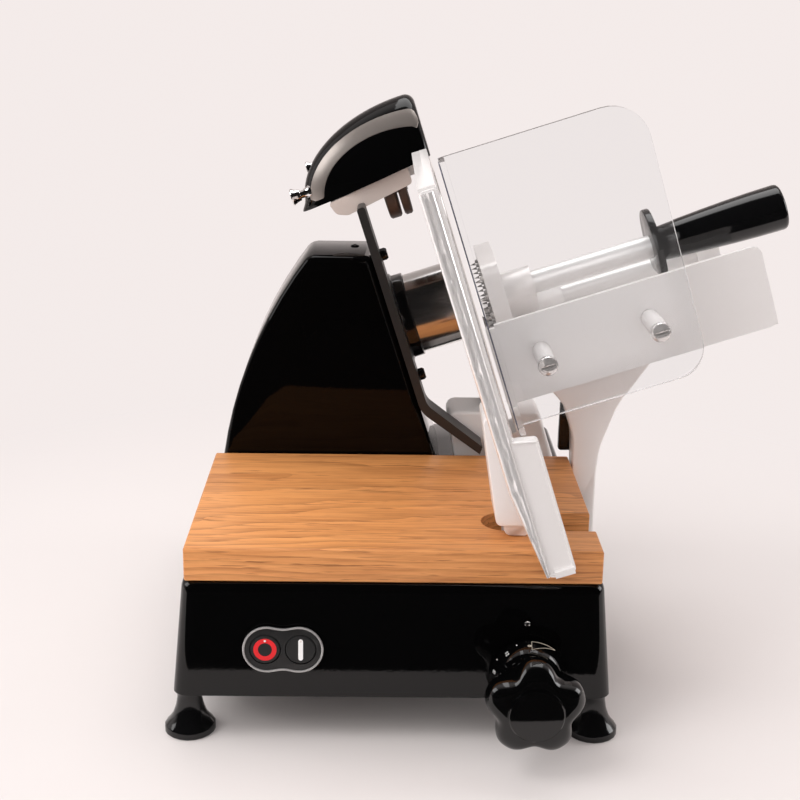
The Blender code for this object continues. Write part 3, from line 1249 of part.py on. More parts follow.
def make_carriage(root, slant):
    """Rod, slide block, curved arm, rear shroud and the food tray."""
    start, end, _, _ = carriage_rod_span()
    piece("carriage_rod", rod(CARRIAGE_ROD_RADIUS, (CARRIAGE_ROD_X, start + SEAT_GAP, CARRIAGE_ROD_Z),
                              (CARRIAGE_ROD_X, end - SEAT_GAP, CARRIAGE_ROD_Z)), "chrome", root)
    block_low = CARRIAGE_ROD_Z - SLIDE_BLOCK_HEIGHT / 2
    block_right = CARRIAGE_ROD_X + SLIDE_BLOCK_WIDTH / 2
    block = piece("slide_block", box((CARRIAGE_ROD_X - SLIDE_BLOCK_WIDTH / 2,
                                      SLIDE_BLOCK_Y - SLIDE_BLOCK_LENGTH / 2, block_low),
                                     (block_right, SLIDE_BLOCK_Y + SLIDE_BLOCK_LENGTH / 2,
                                      block_low + SLIDE_BLOCK_HEIGHT)), "cast_aluminium", root,
                  edge=1.5 * MM)
    bore = rod(CARRIAGE_ROD_RADIUS + SEAT_GAP,
               (CARRIAGE_ROD_X, SLIDE_BLOCK_Y - SLIDE_BLOCK_LENGTH, CARRIAGE_ROD_Z),
               (CARRIAGE_ROD_X, SLIDE_BLOCK_Y + SLIDE_BLOCK_LENGTH, CARRIAGE_ROD_Z))
    cut(block, "bore", bore, root)
    piece("carriage_arm", plate(rounded(arm_outline(block_right + SEAT_GAP), 5), ARM_FRONT_Y, ARM_REAR_Y),
          "silver_paint", root, edge=1.5 * MM)
    shroud_low = BOARD_TOP_Z + 2 * MM
    piece("arm_shroud", box((ARM_NECK_X - 8.5 * MM, ARM_REAR_Y + SEAT_GAP, shroud_low),
                            (ARM_NECK_X + SHROUD_DEPTH, ARM_REAR_Y + SEAT_GAP + SHROUD_THICKNESS,
                             shroud_low + SHROUD_HEIGHT)), "black_plastic", root, edge=1.5 * MM)
    make_tray(slant)


def arm_outline(foot_left):
    """The arm's front outline: a foot into the base, a narrow neck and a flare under the tray."""
    foot_low = CARRIAGE_ROD_Z - ARM_FOOT_HEIGHT / 2
    foot_high = CARRIAGE_ROD_Z + ARM_FOOT_HEIGHT / 2
    neck_left, neck_right = ARM_NECK_X, ARM_NECK_X + ARM_WIDTH
    low_left = base_side_x(foot_low) + ARM_BASE_CLEAR
    top = TRAY_UNDER_M - SEAT_GAP
    left_x, left_z = slant_to_root(TRAY_LEFT_N + 21 * MM, top)
    right_x, right_z = slant_to_root(TRAY_LEFT_N + 140 * MM, top)
    at = BOARD_TOP_Z
    return [(foot_left, foot_low, 0), (neck_right, foot_low, 6 * MM), (neck_right, at - 6 * MM, 40 * MM),
            (neck_right + 1.5 * MM, at + 12 * MM, 60 * MM), (neck_right + 13 * MM, at + 45 * MM, 60 * MM),
            (right_x, at + right_z, 0), (left_x, at + left_z, 0),
            (neck_left - 9 * MM, at + 45 * MM, 30 * MM),
            (neck_left - 1 * MM, at + 20 * MM, 40 * MM), (neck_left, at - 20 * MM, 4 * MM),
            (low_left, at - 30 * MM, 4 * MM), (low_left, foot_high, 2 * MM), (foot_left, foot_high, 0)]


def make_tray(slant):
    """The cast food tray: ribbed floor, front wall, low rear wall and two lugs for the pusher's rail."""
    floor = box((TRAY_LEFT_N, TRAY_FRONT_Y + 1 * MM, TRAY_UNDER_M),
                (TRAY_RIGHT_N, TRAY_REAR_Y - 1 * MM, TRAY_FLOOR_M))
    tray = piece("food_tray", floor, "satin_aluminium", slant)
    low, high = TRAY_UNDER_M - 0.5 * MM, TRAY_FLOOR_M + TRAY_WALL_HEIGHT
    wall = rounded([(TRAY_LEFT_N, low, TRAY_CORNER / 2), (TRAY_RIGHT_N, low, TRAY_CORNER),
                    (TRAY_RIGHT_N, high, TRAY_CORNER), (TRAY_LEFT_N, high, TRAY_CORNER / 2)], 4)
    join(tray, "front_wall", plate(wall, TRAY_FRONT_Y, TRAY_FRONT_Y + TRAY_WALL), slant)
    rear = box((TRAY_LEFT_N + 0.2 * MM, TRAY_REAR_Y - TRAY_WALL, TRAY_UNDER_M + 0.3 * MM),
               (TRAY_RIGHT_N - 0.2 * MM, TRAY_REAR_Y, TRAY_FLOOR_M + TRAY_REAR_WALL_HEIGHT))
    join(tray, "rear_wall", rear, slant)
    join(tray, "ribs", tray_ribs(), slant)
    rail_y, rail_m = rail_axis()
    half = PUSHER_RAIL_RADIUS + 5 * MM
    for label, low in zip(("left", "right"), rail_lug_places()):
        lug = box((low, rail_y - half, TRAY_FLOOR_M - 1 * MM),
                  (low + LUG_THICKNESS, TRAY_REAR_Y - 1 * MM, rail_m + half))
        join(tray, f"rail_lug_{label}", lug, slant)
    low, high = rail_lug_places()
    bore = rod(PUSHER_RAIL_RADIUS + SEAT_GAP, (low - 3 * MM, rail_y, rail_m),
               (high + LUG_THICKNESS + 3 * MM, rail_y, rail_m), 24)
    cut(tray, "rail_bore", bore, slant)


def tray_ribs():
    """Low ribs along the tray's floor, as one shape."""
    spacing = (TRAY_DEPTH - 50 * MM) / TRAY_RIBS

    def build(work):
        for index in range(TRAY_RIBS):
            y = TRAY_FRONT_Y + 16 * MM + spacing * index
            made = bmesh.ops.create_cube(work, size=1)["verts"]
            bmesh.ops.scale(work, vec=(TRAY_LENGTH - 6 * MM, 3 * MM, 2 * TRAY_RIB_HEIGHT), verts=made)
            bmesh.ops.translate(work, vec=((TRAY_LEFT_N + TRAY_RIGHT_N) / 2, y, TRAY_FLOOR_M), verts=made)
    return mesh_from(build)


def rail_axis():
    """Y and m of the pusher's rail."""
    return TRAY_REAR_Y - PUSHER_RAIL_INSET, TRAY_FLOOR_M + PUSHER_RAIL_RISE


def rail_lug_places():
    """Where the two rail lugs start along n."""
    left = TRAY_LEFT_N + 3 * MM
    return left, left + LUG_THICKNESS + SLEEVE_LENGTH + PUSHER_TRAVEL + SWEEP_GAP


# Hand guard

def hand_guard_corner():
    """Left n and lower m of the clear guard's front."""
    return TRAY_LEFT_N + 2 * MM, TRAY_FLOOR_M - HAND_GUARD_BELOW_FLOOR


def spacer_places():
    """n and m of the two spacers."""
    first = TRAY_LEFT_N + SPACER_FIRST_N
    m = TRAY_FLOOR_M + SPACER_RISE
    return {"left": (first, m), "right": (first + SPACER_PITCH, m)}


def make_hand_guard(slant):
    """The clear sheet before the tray, on two spacers with domed screws."""
    left, low = hand_guard_corner()
    rear = TRAY_FRONT_Y - HAND_GUARD_STANDOFF
    front = rear - HAND_GUARD_SHEET
    right, high = left + HAND_GUARD_WIDTH, low + HAND_GUARD_HEIGHT
    outline = rounded([(left, low, 2 * MM), (right, low, HAND_GUARD_CORNER * 0.8),
                       (right, high, HAND_GUARD_CORNER), (left, high, 3 * MM)], 8)
    guard = piece("hand_guard", plate(outline, front, rear), "acrylic", slant)
    flange = box((left + 0.2 * MM, front + 0.5 * MM, low - 7 * MM),
                 (left + HAND_GUARD_SHEET, rear + HAND_GUARD_FLANGE, high - 3 * MM))
    join(guard, "flange", flange, slant)
    shank = SCREW_SHANK_RADIUS
    for label, (n, m) in spacer_places().items():
        hole = rod(shank + SEAT_GAP, (n, front - 5 * MM, m), (n, rear + 5 * MM, m), 20)
        cut(guard, f"hole_{label}", hole, slant)
        spacer = piece(f"guard_spacer_{label}", rod(SPACER_RADIUS, (n, rear + SEAT_GAP, m),
                                                    (n, TRAY_FRONT_Y - SEAT_GAP, m), 28),
                       "satin_aluminium", slant)
        bore = rod(shank + SEAT_GAP, (n, front, m), (n, rear + 12 * MM, m), 20)
        cut(spacer, "bore", bore, slant)
        dome = [(SCREW_HEAD_RADIUS * sin(angle), -SCREW_HEAD_HEIGHT * cos(angle) - SEAT_GAP)
                for angle in (0, pi / 8, pi / 4, 3 * pi / 8, pi / 2)]
        end = HAND_GUARD_SHEET + SCREW_GRIP
        profile = dome + [(shank, -SEAT_GAP), (shank, end), (0, end)]
        screw = turned(f"guard_screw_{label}", profile, "chrome", slant, (n, front, m), 20, "Y")
        slot = box((-10 * MM, -SCREW_HEAD_HEIGHT - 3 * MM, -SCREW_SLOT / 2),
                   (10 * MM, -SCREW_HEAD_HEIGHT + 1 * MM, SCREW_SLOT / 2))
        cut(screw, "slot", slot, slant, (n, front, m))


# Pusher

def make_pusher(slant):
    """Rail, sliding sleeve, spiked pusher plate with its lever, tube, disc and grip."""
    rail_y, rail_m = rail_axis()
    low, high = rail_lug_places()
    piece("pusher_rail", rod(PUSHER_RAIL_RADIUS, (low + 1 * MM, rail_y, rail_m),
                             (high + LUG_THICKNESS - 1 * MM, rail_y, rail_m), 28), "chrome", slant)
    sleeve_start = low + LUG_THICKNESS + 0.5 * MM
    sleeve_end = sleeve_start + SLEEVE_LENGTH
    start = sleeve_start + SLEEVE_COLLAR
    bore = PUSHER_RAIL_RADIUS + RUNNING_GAP
    journal = EYE_BORE - RUNNING_GAP
    collar = EYE_RADIUS - 3 * MM
    eye_end = start + EYE_LENGTH + RUNNING_GAP
    turned("pusher_sleeve", [(bore, sleeve_start), (collar, sleeve_start), (collar, start - RUNNING_GAP),
                             (journal, start - RUNNING_GAP), (journal, eye_end), (collar, eye_end),
                             (collar, sleeve_end), (bore, sleeve_end)],
           "satin_aluminium", slant, (0, rail_y, rail_m), 28, "X")
    tube_y, tube_m = TRAY_FRONT_Y + PUSHER_TUBE_Y, TRAY_FLOOR_M + PUSHER_TUBE_RISE
    lever = hull_of_circles((rail_y, rail_m), EYE_RADIUS, (tube_y, tube_m), LEVER_HEAD_RADIUS, 10)
    made = piece("pusher_plate", plate(lever, start, start + EYE_LENGTH, "X"), "satin_aluminium", slant)
    half_width, half_height = PUSHER_PLATE_WIDTH / 2, PUSHER_PLATE_HEIGHT / 2
    face = rounded_rectangle(tube_y - half_width, tube_y + half_width, tube_m - half_height,
                             tube_m + half_height, 8 * MM)
    plate_end = start + 1 * MM
    plate_start = plate_end - PUSHER_PLATE_THICKNESS
    join(made, "face", plate(face, plate_start, plate_end, "X"), slant)
    join(made, "spikes", pusher_spikes(plate_start, tube_y, tube_m), slant)
    cut(made, "eye", rod(EYE_BORE, (start - 10 * MM, rail_y, rail_m),
                         (start + EYE_LENGTH + 5 * MM, rail_y, rail_m), 32), slant)
    socket = plate_end + 1 * MM
    cut(made, "tube_socket", rod(PUSHER_TUBE_RADIUS + SEAT_GAP, (socket, tube_y, tube_m),
                                 (start + EYE_LENGTH + 5 * MM, tube_y, tube_m), 32), slant)
    disc_end = PUSHER_DISC_N + PUSHER_DISC_THICKNESS
    grip_start = disc_end + SEAT_GAP
    piece("pusher_tube", rod(PUSHER_TUBE_RADIUS, (socket + SEAT_GAP, tube_y, tube_m),
                             (grip_start + 26 * MM, tube_y, tube_m), 32), "satin_aluminium", slant)
    flat = radians(38)
    disc = piece("pusher_disc", plate(arc((tube_y, tube_m), PUSHER_DISC_RADIUS, -pi / 2 + flat,
                                          3 * pi / 2 - flat, 28), PUSHER_DISC_N, disc_end, "X"),
                 "black_plastic", slant, edge=0.8 * MM)
    cut(disc, "bore", rod(PUSHER_TUBE_RADIUS + SEAT_GAP, (PUSHER_DISC_N - 5 * MM, tube_y, tube_m),
                          (disc_end + 5 * MM, tube_y, tube_m), 32), slant)
    turned("pusher_grip", grip_profile(grip_start), "black_plastic", slant, (0, tube_y, tube_m), 24, "X")


def pusher_spikes(start, tube_y, tube_m):
    """Short pointed spikes that hold the food, as one shape."""
    def build(work):
        for column in range(5):
            for row in range(4):
                y = tube_y + (column - 2) * 15 * MM
                m = tube_m + (row - 1.5) * 13 * MM
                made = bmesh.ops.create_cone(work, cap_ends=True, segments=6, radius1=2 * MM, radius2=0,
                                             depth=PUSHER_SPIKE + 1 * MM)["verts"]
                bmesh.ops.transform(work, matrix=Matrix.Rotation(-pi / 2, 4, "Y"), verts=made)
                bmesh.ops.translate(work, vec=(start + 0.5 * MM - PUSHER_SPIKE / 2, y, m), verts=made)
    return mesh_from(build)


def grip_profile(start):
    """The grip: a thin neck, a slow swell, a rounded end and a bore for the tube."""
    bore = PUSHER_TUBE_RADIUS + SEAT_GAP
    neck, end = PUSHER_GRIP_NECK, PUSHER_GRIP_END
    length = PUSHER_GRIP_LENGTH
    bore_end = start + 26 * MM + SEAT_GAP
    cap = PUSHER_GRIP_CAP
    swell = [(neck + (end - neck) * sin(pi / 2 * i / 5), start + 1 * MM + (length - cap - 1 * MM) * i / 5)
             for i in range(6)]
    crown = [(end - cap + cap * cos(pi / 2 * i / 3), start + length - cap + cap * sin(pi / 2 * i / 3))
             for i in range(1, 4)]
    return [(bore, start), (neck - 1 * MM, start)] + swell + crown + [(0, start + length), (0, bore_end),
                                                                    (bore, bore_end)]


# Cutting board

def board_slot_left():
    """Where the board's slot ends: its round corners clear the post at the end of its travel."""
    aside = POST_NECK_DEPTH / 2 - (BOARD_SLOT_WIDTH / 2 - BOARD_SLOT_CORNER)
    corner = BOARD_SLOT_CORNER - sqrt(BOARD_SLOT_CORNER ** 2 - aside ** 2)
    return POST_NECK_X - GAUGE_TRAVEL - corner - SLOT_END_GAP


def make_board(root):
    """The oak board, with the slot that lets it slide out past the gauge post."""
    body = box((-BOARD_RIGHT, 0, BOARD_BOTTOM_Z), (BOARD_RIGHT, BOARD_DEPTH, BOARD_TOP_Z))
    board = piece("cutting_board", body, "oak", root, edge=BOARD_EDGE)
    half = BOARD_SLOT_WIDTH / 2
    left, beyond = board_slot_left(), BOARD_RIGHT + 20 * MM
    slot = rounded([(left, POST_Y - half, BOARD_SLOT_CORNER), (beyond, POST_Y - half, 0),
                    (beyond, POST_Y + half, 0), (left, POST_Y + half, BOARD_SLOT_CORNER)])
    cut(board, "post_slot", plate(slot, BOARD_BOTTOM_Z - 5 * MM, BOARD_TOP_Z + 5 * MM, "Z"), root)


# Sharpener

def dome_centre():
    """n and m of the middle of the dome's half ellipsoid."""
    return DOME_START_N + DOME_LENGTH, mount_high_m() - DOME_SINK + 1.5 * MM


def dome_end_n():
    """The dome's flat right end."""
    return dome_centre()[0] + DOME_FLAT_END


def rim_m(across):
    """The dome's lower rim, a line that rises towards the blade."""
    middle_n, middle_m = dome_centre()
    return middle_m + 12 * MM + (across - middle_n) * 1 / 7


def dome_solid(skin, overlap):
    """The dome's outside or, drawn in by skin, its hollow."""
    middle_n, middle_m = dome_centre()
    sizes = (DOME_LENGTH - skin, DOME_HALF_WIDTH - skin, DOME_HEIGHT - skin)
    left = DOME_START_N - 5 * MM
    end = dome_end_n() - skin

    def build(work):
        bmesh.ops.create_uvsphere(work, u_segments=24, v_segments=16, radius=1)
        bmesh.ops.transform(work, matrix=Matrix.Rotation(pi / 2, 4, "Y"), verts=work.verts)
        bmesh.ops.scale(work, vec=sizes, verts=work.verts)
        bmesh.ops.translate(work, vec=(middle_n, HUB_Y, middle_m), verts=work.verts)
        for point, away in (((end, 0, 0), (1, 0, 0)),
                            ((left, 0, rim_m(left) - overlap), (1, 0, -7))):
            kept = work.verts[:] + work.edges[:] + work.faces[:]
            bmesh.ops.bisect_plane(work, geom=kept, plane_co=point, plane_no=away, clear_outer=True)
            open_edges = [edge for edge in work.edges if edge.is_boundary]
            bmesh.ops.contextual_create(work, geom=open_edges)
        bmesh.ops.triangulate(work, faces=[face for face in work.faces if len(face.verts) > 4])
    return mesh_from(build)


def dome_ceiling(across, reach):
    """The height of the dome's inside over a pillar of the given radius."""
    middle_n, middle_m = dome_centre()
    along = (abs(across - middle_n) + reach) / (DOME_LENGTH - DOME_SHELL)
    aside = reach / (DOME_HALF_WIDTH - DOME_SHELL)
    return middle_m + (DOME_HEIGHT - DOME_SHELL) * sqrt(1 - along ** 2 - aside ** 2)


def push_pin_places():
    """Y, m, start and length of the two push pins."""
    _, middle_m = dome_centre()
    return {"grinding_pin": (HUB_Y - 7 * MM, middle_m + 11 * MM, DOME_START_N - 8 * MM, 6.5 * MM),
            "honing_pin": (HUB_Y + 7 * MM, middle_m + 26 * MM, DOME_START_N + 1.5 * MM, 5.8 * MM)}


def make_sharpener(slant):
    """Mount, champagne arm, dome, two stones and two push pins."""
    width = MOUNT_WIDTH / 2
    mount = piece("sharpener_mount", box((MOUNT_LEFT_N, HUB_Y - width, mount_low_m()),
                                         (dome_end_n() - DOME_SHELL - 1 * MM, HUB_Y + width,
                                          mount_high_m())),
                  "silver_paint", slant, edge=1.2 * MM)
    cut(mount, "stem_bore", stem_bore(), slant)
    make_sharpener_arm(slant)
    dome = piece("sharpener_dome", dome_solid(0, 0), "black_lacquer", slant)
    cut(dome, "hollow", dome_solid(DOME_SHELL, 4 * MM), slant)
    for name, (y, m, start, head) in push_pin_places().items():
        hole = rod(PUSH_PIN_RADIUS + RUNNING_GAP, (start, y, m), (start + 40 * MM, y, m), 24)
        cut(dome, f"{name}_hole", hole, slant)
        shank = PUSH_PIN_RADIUS
        turned(name, [(0, start), (head - 1 * MM, start), (head, start + 0.8 * MM),
                      (head - 0.6 * MM, start + 1.6 * MM), (shank + 1 * MM, start + 3.6 * MM),
                      (shank, start + 4.8 * MM), (shank, start + 27 * MM), (0, start + 27 * MM)],
               "chrome", slant, (0, y, m), 20, "X")
    axle_m = stone_axle_m()
    bore = STONE_AXLE_RADIUS + RUNNING_GAP
    for name, start, width in (("grinding_stone", GRIND_STONE_N, GRIND_STONE_WIDTH),
                               ("honing_stone", HONE_STONE_N, HONE_STONE_WIDTH)):
        end = start + width
        edge = STONE_RADIUS - 1.2 * MM
        turned(name, [(bore, start), (edge, start), (STONE_RADIUS, start + 1.2 * MM),
                      (STONE_RADIUS, end - 1.2 * MM), (edge, end), (bore, end)], "stone", slant,
               (0, HUB_Y, axle_m), 28, "X")


def stone_axle_m():
    """The stones' axle, low enough for them to turn under the bridge plate."""
    return mount_high_m() + SEAT_GAP - STONE_RADIUS - 2.5 * MM


def make_sharpener_arm(slant):
    """The champagne arm under the dome: slab, bridge plate, stem, axle and pillars."""
    low_edge = rim_m(SLAB_LEFT_N) - SLAB_THICKNESS
    right_low = rim_m(SLAB_RIGHT_N) - SLAB_THICKNESS
    lift = 0.5 * MM
    corners = [(SLAB_LEFT_N, low_edge + 3 * MM, 6 * MM), (SLAB_LEFT_N + 8 * MM, low_edge, 6 * MM),
               (SLAB_RIGHT_N, right_low, 3 * MM), (SLAB_RIGHT_N, rim_m(SLAB_RIGHT_N) - lift, 0),
               (SLAB_LEFT_N - 3 * MM, rim_m(SLAB_LEFT_N - 3 * MM) - lift, 2 * MM)]
    front, rear = HUB_Y - SLAB_WIDTH / 2, HUB_Y + SLAB_WIDTH / 2
    arm = piece("sharpener_arm", plate(rounded(corners), front, rear), "champagne", slant)
    bridge_low = mount_high_m() + SEAT_GAP
    bridge_high = bridge_low + ARM_PLATE_THICKNESS
    pocket_left = GRIND_STONE_N - STONE_POCKET_GAP
    pocket = box((pocket_left, front + 5 * MM, low_edge - 20 * MM),
                 (SLAB_RIGHT_N + 10 * MM, rear + 10 * MM, bridge_low))
    cut(arm, "stone_pocket", pocket, slant)
    half = BRIDGE_WIDTH / 2
    block = box((BRIDGE_START_N, HUB_Y - half, rim_m(BRIDGE_START_N) - 4 * MM),
                (pocket_left - 0.5 * MM, HUB_Y + half, bridge_high))
    join(arm, "block", block, slant)
    bridge_end = dome_end_n() - DOME_SHELL - 1.5 * MM
    bridge = box((BRIDGE_START_N + 5 * MM, HUB_Y - half + 0.5 * MM, bridge_low),
                 (bridge_end, HUB_Y + half - 0.5 * MM, bridge_high - 0.5 * MM))
    join(arm, "bridge", bridge, slant)
    join(arm, "stem", rod(STEM_RADIUS, (STEM_N, HUB_Y, mount_low_m() - 8 * MM),
                          (STEM_N, HUB_Y, bridge_low + 2 * MM), 24), slant)
    axle_end = HONE_STONE_N + HONE_STONE_WIDTH + 1 * MM
    join(arm, "axle", rod(STONE_AXLE_RADIUS, (pocket_left - 3 * MM, HUB_Y, stone_axle_m()),
                          (axle_end, HUB_Y, stone_axle_m()), 20), slant)
    for label, across in (("left", BRIDGE_START_N + 14 * MM), ("right", STEM_N)):
        pillar = rod(4 * MM, (across, HUB_Y, bridge_high - 2 * MM),
                     (across, HUB_Y, dome_ceiling(across, 4 * MM) - PILLAR_GAP), 20)
        join(arm, f"pillar_{label}", pillar, slant)


# Whole slicer

def stand_on_origin(root):
    """Move the whole slicer so that the middle of its footprint lies on the origin."""
    bpy.context.view_layer.update()
    graph = bpy.context.evaluated_depsgraph_get()
    low, high = Vector((1, 1, 1)), Vector((-1, -1, -1))
    for made in collection("food_slicer").objects:
        solid = made.evaluated_get(graph)
        for corner in solid.to_mesh().vertices:
            point = solid.matrix_world @ corner.co
            low = Vector(map(min, low, point))
            high = Vector(map(max, high, point))
        solid.to_mesh_clear()
    root.location = (-(low.x + high.x) / 2, -(low.y + high.y) / 2, -low.z)
    bpy.context.view_layer.update()


def main():
    """Build every piece and set the slicer on the origin."""
    clear_scene()
    root = frame_empty("slicer_frame")
    slant = frame_empty("blade_frame", root, (0, 0, BOARD_TOP_Z), (0, -BLADE_TILT, 0))
    make_base(root)
    make_board(root)
    make_switch(root)
    make_knob(root)
    make_pinion(root)
    make_tower(root, slant)
    make_drive(slant)
    make_hub(slant)
    make_blade(slant)
    make_round_guard(slant, root)
    make_deflector(slant)
    make_gauge_plate(slant)
    make_gauge_post(root)
    make_gauge_slide(root)
    make_carriage(root, slant)
    make_hand_guard(slant)
    make_pusher(slant)
    make_sharpener(slant)
    stand_on_origin(root)


main()
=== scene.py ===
"""Looks of a food slicer: its finishes, fine surfaces, printed marks and the studio round it.

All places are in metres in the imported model's own frame. The blade, the gauge plate and the food
tray share a slanted frame, whose axes are n (across the blade, towards the food), Y, and m (up
the blade's plane).
"""
from __future__ import annotations

import json
import logging
from dataclasses import dataclass
from enum import Enum
from math import cos, pi, radians, sin
from typing import Callable, Sequence

import bmesh
import bpy
import numpy as np
from mathutils import Matrix, Vector

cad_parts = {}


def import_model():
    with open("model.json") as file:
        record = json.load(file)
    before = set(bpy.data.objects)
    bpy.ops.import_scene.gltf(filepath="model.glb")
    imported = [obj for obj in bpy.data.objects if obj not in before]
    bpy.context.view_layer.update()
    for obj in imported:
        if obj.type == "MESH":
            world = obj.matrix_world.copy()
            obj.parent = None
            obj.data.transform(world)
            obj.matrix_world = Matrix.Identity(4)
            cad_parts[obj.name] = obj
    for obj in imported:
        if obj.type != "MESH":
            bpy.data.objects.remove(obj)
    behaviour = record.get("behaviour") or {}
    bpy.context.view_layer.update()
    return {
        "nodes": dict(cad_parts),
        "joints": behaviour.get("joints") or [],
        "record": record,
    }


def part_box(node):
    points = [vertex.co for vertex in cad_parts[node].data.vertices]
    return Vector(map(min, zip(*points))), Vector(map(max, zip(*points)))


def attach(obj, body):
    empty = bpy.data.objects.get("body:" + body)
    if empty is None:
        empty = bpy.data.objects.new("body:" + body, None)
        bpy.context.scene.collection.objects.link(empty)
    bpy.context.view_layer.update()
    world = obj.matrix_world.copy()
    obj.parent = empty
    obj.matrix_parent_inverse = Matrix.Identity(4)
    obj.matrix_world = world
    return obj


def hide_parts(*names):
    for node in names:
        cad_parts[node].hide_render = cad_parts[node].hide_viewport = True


MM = 0.001
DOUBLES = 0.002 * MM
FLAT_ANGLE = radians(0.4)
SHARP_ANGLE = radians(32)
EDGE_ANGLE = radians(34)
EDGE_STEPS = 2
FONT_PER_FIGURE = 1.4
FIGURE_HALF = 0.06 * MM
FIGURE_STEPS = 3
RIGHT = np.array((1.0, 0.0, 0.0))
AWAY = np.array((0.0, 1.0, 0.0))
UPRIGHT = np.array((0.0, 0.0, 1.0))

log = logging.getLogger("slicer")

Colour = tuple[float, float, float]
Triple = tuple[float, float, float]
Profile = tuple[tuple[float, float], ...]


def in_mm(*points: tuple[float, float]) -> Profile:
    """Points of a profile or line, given in millimetres."""
    return tuple((first * MM, second * MM) for first, second in points)


# Node trees

class Bench:
    """A node tree with short calls that add nodes and join their sockets."""

    def __init__(self, tree: bpy.types.NodeTree) -> None:
        """Keep the tree that the nodes go into."""
        self.tree = tree

    def add(self, kind: str, sockets: dict[str | int, object] | None = None,
            **settings: object) -> bpy.types.Node:
        """Add a node.

        Args:
            kind: The node's type name.
            sockets: A number, colour or output socket for each input that isn't left alone.
            settings: The node's own options.

        Returns:
            The new node.
        """
        node = self.tree.nodes.new(kind)
        for name, value in settings.items():
            setattr(node, name, value)
        for key, value in (sockets or {}).items():
            target = node.inputs[key]
            if isinstance(value, bpy.types.NodeSocket):
                self.tree.links.new(value, target)
            else:
                target.default_value = value
        return node

    def feed(self, node: bpy.types.Node, sockets: dict[str, bpy.types.NodeSocket]) -> None:
        """Join results to a node's inputs.

        Args:
            node: The node.
            sockets: The result that goes into each named input.
        """
        for name, value in sockets.items():
            self.tree.links.new(value, node.inputs[name])

    def math(self, operation: str, *values: object) -> bpy.types.NodeSocket:
        """Work out one sum, product or other operation on numbers.

        Args:
            operation: The operation's name.
            values: Its inputs, as numbers or sockets.

        Returns:
            The result's socket.
        """
        return self.add("ShaderNodeMath", dict(enumerate(values)), operation=operation).outputs[0]

    def span(self, value: object, low: float, high: float, start: float = 0.0,
             end: float = 1.0) -> bpy.types.NodeSocket:
        """Stretch a number from one range to another, held at the ends.

        Args:
            value: The number's socket.
            low: Its lowest value.
            high: Its highest value.
            start: The result at the lowest value.
            end: The result at the highest value.

        Returns:
            The result's socket.
        """
        node = self.add("ShaderNodeMapRange", {"Value": value, "From Min": low, "From Max": high,
                                               "To Min": start, "To Max": end})
        return node.outputs["Result"]

    def mix(self, share: object, first: object, second: object) -> bpy.types.NodeSocket:
        """Blend two colours.

        Args:
            share: How much of the second colour shows.
            first: The colour at a share of 0.
            second: The colour at a share of 1.

        Returns:
            The blended colour's socket.
        """
        return self.add("ShaderNodeMix", {0: share, 6: first, 7: second}, data_type="RGBA").outputs[2]

    def noise(self, place: object, scale: float, detail: float = 2.0, rough: float = 0.5,
              distortion: float = 0.0) -> bpy.types.NodeSocket:
        """Smooth noise at a place.

        Args:
            place: The place's socket.
            scale: Waves to the metre.
            detail: How many finer layers there are.
            rough: How strong the finer layers are.
            distortion: How far the noise bends itself.

        Returns:
            The noise value's socket.
        """
        node = self.add("ShaderNodeTexNoise", {"Vector": place, "Scale": scale, "Detail": detail,
                                               "Roughness": rough, "Distortion": distortion})
        return node.outputs["Fac"]

    def stretch(self, place: object, scale: Sequence[float],
                turn: Sequence[float] = (0, 0, 0)) -> bpy.types.NodeSocket:
        """Turn and stretch a place before a pattern reads it.

        Args:
            place: The place's socket.
            scale: The stretch along each axis.
            turn: The turn about each axis, in radians.

        Returns:
            The new place's socket.
        """
        return self.add("ShaderNodeMapping", {"Vector": place, "Scale": scale, "Rotation": turn}).outputs[0]


# What the shared effects are made of
FINE_SMUDGE = 0.35
BROAD_LINES = 0.8
CAST_WAVES = 1.5
HEART_Y = -20 * MM
HEART_Z = -110 * MM
RINGS_TO_THE_METRE = 240.0
RING_WANDER = 24 * MM
LATE_WOOD = 2.2
OAK_EARLY = (0.72, 0.30, 0.095)
OAK_LATE = (0.36, 0.125, 0.034)
OAK_TONE = (0.44, 0.16, 0.046)
OAK_FIBRE = (0.86, 0.40, 0.14)
OAK_PORE = (0.20, 0.07, 0.02)
OAK_ROUGHNESS = 0.42
PORE_ROUGHNESS = 0.25
PORE_COLOUR_SHARE = 0.75
FIBRE_HEIGHT = 0.4


class Effect(Enum):
    """The shared effects, each one node group."""

    GLOSS = "handled_gloss"
    LINES = "brushed_lines"
    CAST = "cast_skin"
    OAK = "oak_grain"
    GRIT = "abrasive_grit"


def new_group(effect: Effect, inputs: dict[str, tuple[str, object]],
              outputs: dict[str, str]) -> tuple[Bench, bpy.types.Node, bpy.types.Node]:
    """Start a node group with named sockets.

    Args:
        effect: The effect that the group makes.
        inputs: Each input's kind and first value.
        outputs: Each output's kind.

    Returns:
        The group's bench, its input node and its output node.
    """
    tree = bpy.data.node_groups.new(effect.value, "ShaderNodeTree")
    for name, (kind, value) in inputs.items():
        socket = tree.interface.new_socket(name=name, in_out="INPUT", socket_type=f"NodeSocket{kind}")
        if value is not None:
            socket.default_value = value
    for name, kind in outputs.items():
        tree.interface.new_socket(name=name, in_out="OUTPUT", socket_type=f"NodeSocket{kind}")
    bench = Bench(tree)
    return bench, bench.add("NodeGroupInput"), bench.add("NodeGroupOutput")


